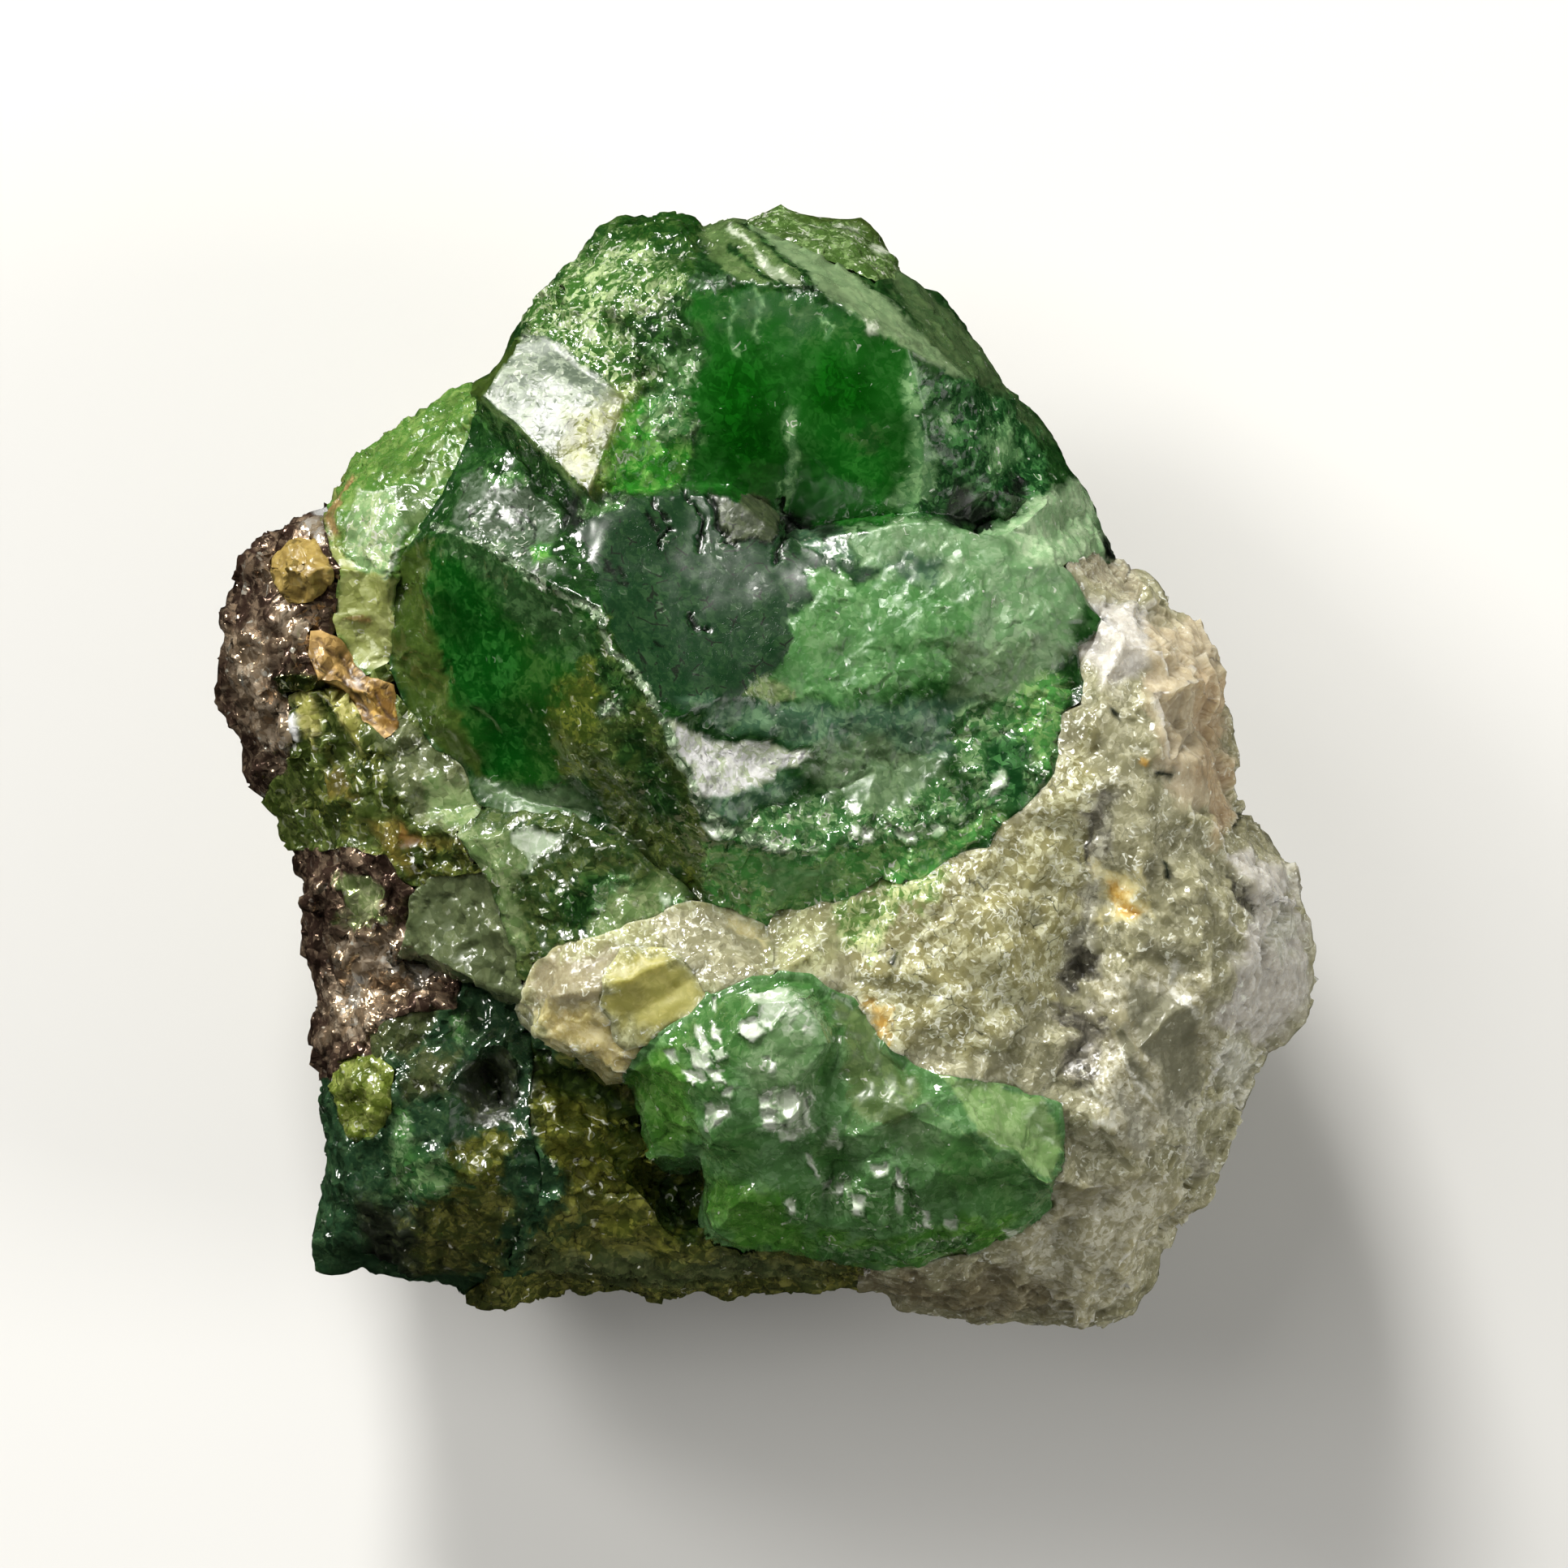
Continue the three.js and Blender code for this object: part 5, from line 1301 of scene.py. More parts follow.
@dataclass
class MainTsavorite(Grain):
    """The large crystal: clear windows above, a grey basin in the middle, and a long broken crest."""

    node: str = "main_tsavorite"
    mineral: Minerals = Minerals.TSAVORITE
    base: Skin = Skin.GREEN
    fine: float = 0.12
    calm: tuple[Outline, ...] = (
        (862, 362, 930, 362, 985, 366, 1010, 370, 1060, 410, 1112, 440, 1130, 500, 1124, 620, 1050, 632, 1000, 640,
            960, 622, 900, 590, 858, 588, 852, 430),
        (572, 602, 600, 584, 640, 596, 684, 632, 694, 690, 655, 698, 578, 640),
        (700, 640, 726, 620, 760, 614, 800, 614, 860, 616, 940, 660, 1000, 680, 1060, 720, 1180, 712, 1290, 720,
            1300, 830, 1180, 860, 1040, 900, 960, 860, 860, 860, 810, 830, 776, 770, 752, 738, 716, 716, 702, 690),
    )
    zones: Zones = (
        Zone(Skin.BACK_FACET, (1080, 325, 1110, 320, 1150, 350, 1262, 480, 1300, 540, 1200, 475, 1140, 420), 6),
        Zone(Skin.WINDOW, (866, 346, 915, 346, 985, 357, 1070, 405, 1118, 432, 1140, 500, 1140, 580, 1134, 640,
            1050, 645, 1000, 650, 955, 632, 900, 600, 846, 600, 864, 540, 840, 490, 866, 440, 840, 396), 9, 10),
        Zone(Skin.WINDOW_DEEP, (872, 440, 930, 430, 960, 480, 956, 560, 930, 596, 876, 580), 34, 10),
        Zone(Skin.WINDOW_BRIGHT, (990, 560, 1040, 520, 1092, 560, 1088, 632, 1010, 648), 22, 12),
        Zone(Skin.WINDOW_DEEP, (1000, 440, 1060, 450, 1072, 510, 1030, 520, 1000, 500), 20, 10),
        Zone(Skin.WINDOW_MIST, (868, 352, 980, 358, 1050, 400, 1040, 420, 960, 410, 890, 400), 26, 10),
        Zone(Skin.DULL, (846, 344, 915, 344, 996, 354), 8, 9, width=11),
        Zone(Skin.VEIL, (904, 372, 908, 400, 906, 430), 5, 8, width=1.5),
        Zone(Skin.VEIL, (930, 366, 938, 396, 934, 424), 5, 8, width=1.5),
        Zone(Skin.VEIL, (1010, 400, 1022, 412, 1016, 424), 4, 8, width=2),
        Zone(Skin.WINDOW_MIST, (1046, 520, 1080, 540, 1076, 566, 1050, 560), 8, 10),
        Zone(Skin.VEIL, (976, 508, 974, 560, 962, 640), 5, 6, width=6),
        Zone(Skin.VEIL, (1116, 440, 1150, 470, 1150, 560, 1138, 636, 1104, 630, 1122, 560, 1118, 500), 10, 8),
        Zone(Skin.MOTTLED, (1146, 462, 1200, 470, 1260, 486, 1290, 540, 1300, 590, 1266, 630, 1220, 648, 1140, 640,
            1146, 560), 8, 12),
        Zone(Skin.VEIL, (1156, 500, 1172, 500, 1172, 530, 1158, 530), 8, 12),
        Zone(Skin.VEIL, (1216, 540, 1250, 500, 1262, 530, 1230, 590), 12, 14),
        # Painted shade at the foot of the ledge.
        Zone(Skin.BLACK, (1176, 600, 1200, 620, 1236, 610, 1234, 650, 1180, 656, 1166, 640), 10, 10),
        Zone(Skin.BLACK, (1250, 580, 1276, 590, 1256, 626, 1240, 610), 8, 8),
        Zone(Skin.LOBE, (712, 306, 720, 240, 880, 240, 872, 280, 852, 346, 812, 344, 770, 304), 4),
        Zone(Skin.OLIVE_FACE, (864, 276, 885, 256, 930, 256, 962, 318, 990, 356, 910, 348, 884, 316), 4,
            steps=(48.0, 0.45, 0.07)),
        Zone(Skin.DARK_STRIP, (900, 300, 940, 338, 972, 356), 2, 5, width=4),
        # Painted highlights along the bevel.
        Zone(Skin.BEVEL_PAINTED_HIGHLIGHT, (926, 300, 944, 314, 986, 354, 976, 358, 936, 324), 2.5, 4),
        Zone(Skin.BEVEL_PAINTED_HIGHLIGHT, (900, 272, 916, 284, 928, 300), 2, 5, width=3),
        Zone(Skin.DARK_STRIP, (918, 268, 950, 300, 996, 348), 2, 2, width=4),
        # The bevelled facet, paler as a painted reflection.
        Zone(Skin.CHAMFER, (918, 262, 960, 286, 1012, 308, 1060, 346, 1104, 384, 1150, 424, 1192, 470, 1140, 446,
            1110, 428, 1066, 402, 1004, 350, 970, 318, 928, 276), 4, 4, steps=(53.0, 0.5, 0.03)),
        # Painted highlight.
        Zone(Skin.BEVEL_PAINTED_HIGHLIGHT, (1060, 396, 1074, 396, 1080, 410, 1066, 410), 3, 4),
        Zone(Skin.FROSTED, (640, 400, 655, 360, 706, 306, 752, 286, 800, 304, 836, 340, 846, 360, 828, 400, 838, 430,
            806, 476, 768, 492, 650, 400), 9, 12),
        Zone(Skin.DARK_STRIP, (762, 392, 810, 380, 848, 380, 850, 470, 800, 470, 770, 440), 16, 16),
        Zone(Skin.GLITTER, (800, 436, 846, 420, 852, 500, 812, 486), 12, 14),
        Zone(Skin.POCKET, (770, 496, 846, 490, 850, 560, 836, 596, 790, 608, 732, 600, 750, 545), 5, 5),
        Zone(Skin.SPARKLY, (790, 486, 846, 484, 858, 540, 812, 556), 12, 14),
        Zone(Skin.OLIVE_WALL, (598, 500, 566, 478, 618, 425, 650, 396, 648, 432, 612, 468), 4, 5),
        # The mirror facet: painted reflection in silver, gold on its right.
        Zone(Skin.MIRROR, (644, 402, 690, 420, 768, 494, 728, 608, 600, 490), 2.5, 4),
        Zone(Skin.MIRROR_GOLD, (700, 520, 764, 486, 768, 500, 728, 608, 690, 570), 26, 10),
        Zone(Skin.DARK_STRIP, (592, 500, 604, 492, 728, 612, 724, 650, 690, 640, 640, 572, 586, 516), 3, 4),
        Zone(Skin.OLIVE_FACE, (600, 497, 664, 552, 722, 616), 2, 3, width=3),
        # The glassy facet, grey as a painted reflection.
        Zone(Skin.GREY_MIRROR, (566, 590, 592, 572, 640, 588, 688, 626, 704, 700, 655, 706, 556, 640), 4, 6),
        Zone(Skin.DARK_STRIP, (668, 606, 690, 620, 708, 660, 706, 700, 680, 690, 690, 650), 5, 8),
        Zone(Skin.DARK_STRIP, (584, 562, 610, 556, 650, 590, 640, 600, 612, 590, 592, 592), 4, 8),
        Zone(Skin.GLITTER, (592, 574, 640, 580, 646, 594, 600, 588), 4, 8),
        Zone(Skin.BLACK, (646, 640, 654, 652, 660, 668), 2, 8, width=2.5),
        Zone(Skin.BLACK, (606, 640, 626, 644, 640, 656), 2, 9, width=2),
        Zone(Skin.POCKET, (658, 674, 682, 672, 684, 690, 664, 696), 7, 8),
        Zone(Skin.CRUMB, (584, 644, 612, 668, 648, 706), 1.5, 3, width=1.5),
        Zone(Skin.BLACK, (704, 612, 740, 606, 792, 610, 768, 660, 722, 676, 700, 650), 8, 10),
        Zone(Skin.GLITTER, (722, 616, 772, 614, 768, 640, 752, 670, 724, 672), 8, 12),
        Zone(Skin.FACE, (524, 664, 560, 656, 600, 670, 656, 710, 700, 735, 740, 756, 724, 800, 706, 900, 690, 960,
            604, 962, 560, 886, 524, 740), 5, 6),
        Zone(Skin.FACE_GREY, (560, 664, 620, 684, 740, 760, 724, 820, 660, 790, 600, 730, 540, 690), 16, 14),
        Zone(Skin.FACE_DEEP, (528, 690, 570, 700, 620, 760, 640, 830, 630, 880, 580, 880, 540, 820), 20, 12),
        Zone(Skin.FACE_DEEP, (590, 880, 650, 900, 650, 950, 604, 955), 14, 10),
        Zone(Skin.OLIVE_WALL, (476, 700, 520, 660, 524, 740, 548, 840, 604, 964, 560, 936, 500, 866, 474, 800), 5, 6),
        Zone(Skin.GREY_GREEN, (576, 960, 610, 962, 700, 976, 724, 1012, 640, 1006, 590, 990), 9, 9),
        Zone(Skin.STAINED, (700, 830, 738, 810, 746, 900, 730, 960, 690, 960, 680, 900), 10, 12),
        Zone(Skin.BROWN, (744, 760, 780, 820, 830, 930, 866, 1000, 880, 1090, 800, 1070, 740, 1010, 724, 940,
            748, 880), 8, 10),
        Zone(Skin.DARK_STRIP, (736, 800, 772, 820, 800, 870, 770, 888, 744, 850), 14, 10),
        Zone(Skin.DARK_STRIP, (770, 900, 810, 910, 850, 1000, 846, 1050, 800, 1000), 16, 14),
        Zone(Skin.STAINED, (738, 930, 760, 980, 744, 1000, 728, 960), 6, 10),
        Zone(Skin.CRUMB, (742, 868, 768, 866, 766, 884, 746, 884), 4, 5),
        Zone(Skin.DARK_STRIP, (716, 656, 770, 650, 800, 700, 760, 740, 728, 712), 12, 10),
        # Painted shade at the foot of the ledge.
        Zone(Skin.BLACK, (964, 632, 992, 648, 1040, 650, 1038, 660, 990, 672, 964, 660), 5, 6),
        Zone(Skin.DARK_BAND, (976, 664, 1040, 656, 1060, 690, 1010, 700, 982, 700), 8, 8),
        Zone(Skin.BLACK, (950, 652, 976, 676, 960, 690, 940, 672), 5, 5),
        Zone(Skin.MEDIUM, (1050, 656, 1130, 648, 1200, 664, 1290, 616, 1340, 600, 1380, 700, 1340, 690, 1320, 800,
            1250, 850, 1180, 850, 1200, 750, 1120, 716, 1070, 706), 7, 10),
        Zone(Skin.PALE_GREEN, (1236, 656, 1288, 604, 1336, 580, 1376, 680, 1330, 690, 1250, 700), 9, 9),
        Zone(Skin.DARK_BAND, (1090, 690, 1160, 690, 1150, 722, 1110, 716), 8, 8),
        Zone(Skin.BLACK, (1354, 646, 1372, 660, 1378, 706, 1364, 690), 4, 4),
        Zone(Skin.BRIGHT, (990, 698, 1060, 706, 1100, 707, 1130, 722, 1172, 725, 1204, 712, 1200, 750, 1180, 785,
            1160, 820, 1130, 842, 1080, 858, 1035, 862, 990, 856, 950, 840, 965, 800, 960, 770), 12, 14),
        Zone(Skin.BASIN, (712, 650, 790, 612, 852, 604, 900, 610, 960, 650, 984, 672, 1040, 688, 1092, 700, 1066, 714,
            1040, 707, 1014, 718, 1001, 699, 990, 712, 1003, 742, 984, 754, 966, 768, 980, 792, 962, 818, 940, 838,
            905, 864, 840, 880, 800, 856, 750, 760), 2.5, 5),
        Zone(Skin.KHAKI, (876, 606, 905, 616, 930, 602, 948, 616, 962, 644, 950, 668, 922, 662, 905, 672,
            888, 650), 2, 6, lift=0.05),
        Zone(Skin.BLACK, (876, 606, 890, 650, 905, 672, 922, 662, 950, 668, 962, 644), 2, 6, width=2),
        Zone(Skin.BLACK, (846, 606, 868, 640, 862, 676), 2, 5, width=2.5, lift=-0.2),
        Zone(Skin.BLACK, (870, 606, 888, 650, 906, 672), 2, 5, width=2.5, lift=-0.2),
        Zone(Skin.BLACK, (962, 616, 970, 650, 956, 694), 2, 5, width=3, lift=-0.2),
        Zone(Skin.BLACK, (806, 616, 826, 650, 812, 676), 2, 6, width=2, lift=-0.15),
        Zone(Skin.BLACK, (850, 760, 872, 776), 3, 6, width=5, lift=-0.15),
        Zone(Skin.BLACK, (748, 696, 762, 702, 770, 718, 760, 712), 3, 9, width=3),
        Zone(Skin.BLACK, (800, 636, 812, 650), 3, 8, width=3),
        Zone(Skin.BLACK, (800, 790, 830, 800), 3, 8, width=2),
        Zone(Skin.STAINED, (824, 1062, 856, 1064, 862, 1106, 838, 1110), 8, 9),
        Zone(Skin.BRIGHT_TOP, (996, 704, 1050, 712, 1040, 736, 1000, 732), 6, 8),
        Zone(Skin.BRIGHT_TOP, (980, 780, 1010, 760, 1030, 790, 1004, 812), 9, 9),
        Zone(Skin.GREY_GREEN, (1180, 790, 1270, 780, 1290, 860, 1200, 900, 1160, 870), 14, 12),
        Zone(Skin.DARK_BAND, (838, 868, 900, 866, 1000, 866, 1110, 870, 1190, 860, 1190, 930, 1100, 940, 1010, 930,
            940, 900, 870, 892), 9, 10),
        Zone(Skin.PALE_WEDGE, (914, 858, 948, 828, 982, 852, 962, 864), 3, 5),
        Zone(Skin.GREY_GREEN, (1010, 920, 1090, 910, 1150, 930, 1140, 1000, 1060, 1000, 990, 960), 12, 12),
        # The shell face: painted highlight of the key light.
        Zone(Skin.SHELL_PAINTED_HIGHLIGHT, (826, 888, 880, 912, 950, 914, 1000, 938, 984, 954, 944, 960, 918, 984, 876, 986, 846, 962),
            4, 5),
        Zone(Skin.DARK_BAND, (880, 986, 930, 972, 952, 962, 990, 966, 940, 1000, 890, 1020, 866, 996), 7, 6),
        Zone(Skin.SPARKLY, (880, 1020, 1000, 986, 1080, 1000, 1160, 960, 1180, 1000, 1100, 1040, 950, 1060), 8, 10),
        Zone(Skin.SPARKLY, (1180, 880, 1250, 860, 1300, 850, 1310, 900, 1270, 980, 1200, 1020, 1180, 960), 8, 10),
        Zone(Skin.RIM_GREEN, (1240, 860, 1300, 830, 1320, 860, 1290, 950, 1250, 930), 8, 8),
        Zone(Skin.MOTTLED, (1204, 930, 1238, 912, 1270, 928, 1264, 986, 1226, 990, 1206, 962), 8, 10),
        # Painted glow.
        Zone(Skin.PAINTED_GLOW, (1214, 958, 1234, 956, 1234, 978, 1218, 980), 4, 8),
        # Painted highlights on small faces tilted to mirror the key light.
        *(Zone(Skin.PAINTED_GLINTS, block, 2, 4, facet=KEY_FACE) for block in (
            (1050, 1008, 1062, 1010, 1060, 1026, 1050, 1022), (1066, 1014, 1078, 1018, 1074, 1036, 1064, 1030),
            (1104, 1018, 1124, 1022, 1122, 1040, 1106, 1038), (1142, 1012, 1156, 1014, 1154, 1032, 1144, 1028),
            (1214, 962, 1230, 958, 1232, 972, 1218, 976), (866, 1014, 884, 1020, 890, 1034, 870, 1026),
        )),
        Zone(Skin.RIM_GREEN, (866, 1040, 950, 1060, 1060, 1044, 1150, 1020, 1220, 1000, 1250, 1010, 1150, 1080,
            1000, 1120, 940, 1140, 880, 1120), 7, 8),
        Zone(Skin.BRIGHT, (936, 1062, 1020, 1060, 1026, 1096, 960, 1116), 8, 8),
        Zone(Skin.CRUMB, (530, 648, 600, 674, 655, 708, 700, 733, 738, 752), 2, 5, width=3.5),
        Zone(Skin.CRUMB, (738, 752, 752, 792, 776, 824, 802, 860, 822, 900), 2, 5, width=4.5),
        Zone(Skin.CRUMB, (822, 895, 842, 942, 856, 968, 872, 1000, 894, 1022, 930, 1042, 960, 1052), 3, 6, width=6.5),
    )


@dataclass
class LowerTsavorite(Grain):
    """The lumpy crystal at the bottom, with its pale flat facet."""

    node: str = "lower_tsavorite"
    mineral: Minerals = Minerals.TSAVORITE
    base: Skin = Skin.LOWER
    fine: float = 0.08
    calm: tuple[Outline, ...] = ((1176, 1340, 1300, 1348, 1318, 1400, 1308, 1452, 1240, 1416, 1196, 1376),)
    zones: Zones = (
        Zone(Skin.LOWER_LIGHT, (776, 1320, 850, 1262, 844, 1330, 850, 1410, 800, 1436), 16, 12),
        # Milky green with painted sheen.
        Zone(Skin.LOWER_MILKY_SHEEN, (900, 1280, 930, 1220, 1000, 1226, 1012, 1290, 1000, 1350, 920, 1350), 26, 12),
        Zone(Skin.LOWER_MILKY_SHEEN, (1050, 1340, 1130, 1370, 1180, 1410, 1120, 1420, 1050, 1390), 22, 14),
        Zone(Skin.LOWER_DEEP, (850, 1390, 930, 1390, 930, 1430, 870, 1436), 14, 12),
        Zone(Skin.LOWER_OLIVE, (1030, 1226, 1056, 1240, 1094, 1300, 1130, 1340, 1110, 1390, 1050, 1380,
            1034, 1300), 8, 9),
        Zone(Skin.LOWER_PALE, (1150, 1325, 1200, 1334, 1286, 1346, 1310, 1400, 1302, 1456, 1240, 1418, 1206, 1396,
            1176, 1360), 3, 4),
        Zone(Skin.LOWER_LIGHT, (862, 1450, 930, 1450, 990, 1480, 1000, 1550, 900, 1545), 14, 12),
        Zone(Skin.LOWER_LIGHT, (1010, 1520, 1130, 1516, 1260, 1490, 1250, 1540, 1120, 1566, 1010, 1560), 12, 12),
        Zone(Skin.LOWER_DEEP, (996, 1408, 1050, 1400, 1040, 1448, 1000, 1446), 7, 8),
        Zone(Skin.LOWER_DEEP, (1150, 1400, 1200, 1410, 1270, 1450, 1240, 1490, 1160, 1470), 16, 14),
        Zone(Skin.LOWER_PALE, (1030, 1262, 1100, 1340, 1180, 1392, 1284, 1464), 1.5, 5, width=0.4),
        Zone(Skin.LOWER_PALE, (1160, 1330, 1210, 1386, 1298, 1462), 1.5, 3, width=1.0, lift=0.04),
        Zone(Skin.LOWER_DEEP, (922, 1212, 960, 1205, 1000, 1212, 1020, 1236, 1028, 1284, 1016, 1334), 4, 3, width=5,
            lift=-0.14),
        Zone(Skin.LOWER_DEEP, (846, 1262, 880, 1220, 930, 1208, 944, 1220, 936, 1280, 900, 1310, 896, 1356, 846, 1350),
            6, 8),
        # Painted glow and highlights on the dome and below it.
        Zone(Skin.PAINTED_GLOW, (964, 1226, 990, 1228, 1006, 1250, 1000, 1278, 974, 1262), 9, 8),
        Zone(Skin.PAINTED_GLOW, (866, 1358, 888, 1356, 896, 1374, 884, 1382, 868, 1378), 4, 6),
        Zone(Skin.PAINTED_GLOW, (880, 1284, 898, 1282, 900, 1294, 884, 1298), 3, 6),
        Zone(Skin.PAINTED_GLOW, (942, 1298, 950, 1300, 950, 1320, 942, 1318), 4, 6),
        Zone(Skin.PAINTED_GLOW, (934, 1346, 960, 1340, 990, 1350, 1000, 1388, 976, 1400, 936, 1380), 6, 9),
        Zone(Skin.PAINTED_GLOW, (1008, 1404, 1022, 1384, 1042, 1400, 1030, 1414, 1010, 1418), 4, 9),
        Zone(Skin.GLITTER, (1000, 1450, 1044, 1462, 1080, 1470, 1110, 1440, 1140, 1480, 1146, 1514, 1100, 1500,
            1040, 1494, 1000, 1478), 8, 12),
        Zone(Skin.GLITTER, (966, 1476, 996, 1474, 1000, 1504, 972, 1508), 6, 8),
        Zone(Skin.GLITTER, (1000, 1540, 1100, 1532, 1200, 1520, 1204, 1540, 1100, 1556, 1004, 1560), 6, 9),
        # Painted highlights on small faces tilted to mirror the left light.
        *(Zone(Skin.PAINTED_GLINTS, block, 2, 4, facet=LEFT_FACE) for block in (
            (859, 1263, 873, 1260, 879, 1281, 865, 1289), (850, 1288, 871, 1283, 883, 1303, 873, 1314, 854, 1308),
            (838, 1315, 864, 1312, 870, 1326, 849, 1337), (873, 1313, 886, 1313, 888, 1334, 876, 1333),
            (888, 1337, 899, 1339, 898, 1352, 888, 1350), (879, 1283, 898, 1281, 901, 1293, 885, 1299),
            (863, 1358, 873, 1356, 875, 1369, 865, 1371), (874, 1363, 893, 1360, 895, 1375, 879, 1380),
            (827, 1295, 839, 1293, 840, 1305, 829, 1307),
        )),
        # Painted highlights on small faces tilted to mirror the key light.
        *(Zone(Skin.PAINTED_GLINTS, block, 2, 4, facet=KEY_FACE) for block in (
            (933, 1216, 958, 1209, 971, 1219, 954, 1259, 936, 1251),
            (916, 1255, 931, 1246, 946, 1264, 934, 1278, 917, 1270), (925, 1214, 936, 1214, 935, 1228, 926, 1226),
            (885, 1254, 899, 1257, 896, 1274, 886, 1270), (880, 1225, 887, 1222, 890, 1242, 883, 1242),
            (955, 1349, 975, 1341, 983, 1352, 980, 1379, 968, 1391, 959, 1371),
            (984, 1350, 993, 1358, 994, 1387, 985, 1385), (929, 1348, 944, 1348, 948, 1363, 932, 1363),
            (932, 1365, 947, 1365, 949, 1379, 937, 1379), (956, 1393, 975, 1394, 973, 1407, 958, 1407),
            (942, 1298, 950, 1298, 951, 1320, 943, 1320), (990, 1426, 1000, 1429, 998, 1448, 990, 1444),
            (1005, 1455, 1019, 1457, 1017, 1469, 1006, 1467), (1025, 1463, 1037, 1465, 1035, 1477, 1025, 1476),
            (1073, 1440, 1093, 1437, 1091, 1448, 1077, 1452), (1100, 1439, 1108, 1444, 1113, 1467, 1105, 1465),
            (1051, 1475, 1068, 1477, 1065, 1488, 1052, 1487), (1101, 1473, 1110, 1475, 1109, 1496, 1101, 1494),
            (1137, 1486, 1146, 1489, 1145, 1515, 1137, 1512), (971, 1479, 980, 1476, 985, 1493, 976, 1498),
            (1159, 1499, 1173, 1501, 1171, 1511, 1159, 1509), (1238, 1520, 1257, 1512, 1260, 1525, 1243, 1529),
        )),
    )


@dataclass
class RimTsavorite(Grain):
    """The pale crystal on the upper left, with its yellow-green tail."""

    node: str = "rim_tsavorite"
    mineral: Minerals = Minerals.PALE_TSAVORITE
    base: Skin = Skin.RIM_TOP
    fine: float = 0.11
    calm: tuple[Outline, ...] = ((404, 716, 484, 712, 486, 828, 404, 830),)
    zones: Zones = (
        Zone(Skin.OLIVE_FACE, (480, 600, 530, 600, 524, 640, 500, 660, 484, 650), 8, 8),
        Zone(Skin.TAIL, (408, 650, 440, 690, 470, 716, 484, 712, 480, 820, 440, 826, 406, 780), 7, 8),
        Zone(Skin.RIM_FROST, (437, 610, 477, 603, 490, 623, 500, 653, 467, 718, 440, 693, 424, 650), 4, 5),
        # Painted highlights along the lens's edges.
        Zone(Skin.PAINTED_GLINTS, (440, 609, 476, 603, 487, 612, 491, 630), 1.5, 3, width=1.2),
        Zone(Skin.PAINTED_GLINTS, (440, 656, 462, 638, 470, 626), 1.5, 5, width=1.2),
        Zone(Skin.PAINTED_GLINTS, (452, 668, 472, 652, 480, 640), 1.5, 5, width=1.2),
        Zone(Skin.PAINTED_GLINTS, (426, 640, 432, 624), 1.5, 4, width=1.2),
        # Painted glow along the edge.
        Zone(Skin.PAINTED_GLOW, (498, 650, 490, 684, 468, 716), 2, 5, width=2.5),
        Zone(Skin.RUST, (430, 766, 446, 770), 4, 7, width=3),
        Zone(Skin.RIND, (398, 600, 428, 574, 430, 588, 414, 630, 416, 660, 404, 670), 4, 7),
    )


@dataclass
class WedgeTsavorite(Grain):
    """The green wedge below the large crystal."""

    node: str = "wedge_tsavorite"
    mineral: Minerals = Minerals.TSAVORITE
    base: Skin = Skin.WEDGE_DARK
    zones: Zones = (
        Zone(Skin.PALE_WEDGE, (560, 1010, 636, 1014, 640, 1066, 636, 1110, 640, 1180, 630, 1190, 606, 1090, 584, 1066),
            6, 8),
        Zone(Skin.PALE_WEDGE, (770, 1090, 816, 1080, 850, 1120, 800, 1160, 730, 1166, 720, 1146), 16, 14),
        # Painted highlights on small faces tilted to mirror the lights.
        Zone(Skin.PAINTED_GLINTS, (634, 1022, 686, 1026, 684, 1044, 664, 1054, 640, 1056), 3, 6, facet=KEY_FACE),
        Zone(Skin.PAINTED_GLINTS, (640, 1058, 662, 1058, 644, 1072), 3, 6, facet=LEFT_FACE),
        Zone(Skin.DARK_STRIP, (700, 1080, 730, 1076, 790, 1080, 760, 1110, 700, 1140, 690, 1120), 12, 14),
        Zone(Skin.GLITTER, (730, 1100, 776, 1078, 780, 1100, 742, 1124), 5, 12),
        Zone(Skin.GLITTER, (814, 1104, 846, 1106, 840, 1134, 818, 1130), 5, 8),
        Zone(Skin.PAINTED_GLINTS, (816, 1106, 828, 1104, 830, 1116, 820, 1118), 2, 5, facet=KEY_FACE),
        Zone(Skin.PAINTED_GLINTS, (822, 1124, 840, 1120, 838, 1130, 824, 1134), 2, 5, facet=KEY_FACE),
    )


@dataclass
class LowerLeftTsavorite(Grain):
    """The smoky, dark crystal that lies back at the lower left."""

    node: str = "lower_left_tsavorite"
    mineral: Minerals = Minerals.TSAVORITE
    base: Skin = Skin.SMOKY
    bulge: float = 0.24
    facet_size: float = 1.3
    zones: Zones = (
        Zone(Skin.SMOKY_PALE, (450, 1300, 470, 1250, 512, 1228, 538, 1240, 534, 1268, 500, 1296, 450, 1330), 5, 6),
        # Painted shade in the deep hollow.
        Zone(Skin.SMOKY_DARK_AND_SHADE, (585, 1300, 624, 1296, 640, 1340, 630, 1380, 580, 1380, 570, 1330), 8, 8),
        # Darker towards the lower edge.
        Zone(Skin.SMOKY_DARK_AND_SHADE, (440, 1480, 560, 1500, 600, 1560, 440, 1580), 18, 14),
        Zone(Skin.SMOKY_GREEN, (480, 1400, 560, 1420, 570, 1480, 480, 1470), 16, 14),
        Zone(Skin.SMOKY_PALE, (500, 1310, 560, 1300, 550, 1350, 500, 1360), 12, 12),
        Zone(Skin.HOST_GOLD, (566, 1400, 620, 1380, 620, 1470, 576, 1490), 12, 22),
        Zone(Skin.HOST, (500, 1500, 560, 1470, 620, 1480, 620, 1580, 520, 1570), 14, 22),
        Zone(Skin.GLITTER, (480, 1370, 510, 1380, 504, 1420, 484, 1410), 8, 12),
        Zone(Skin.GLITTER, (556, 1250, 580, 1262, 574, 1290, 556, 1280), 6, 10),
    )


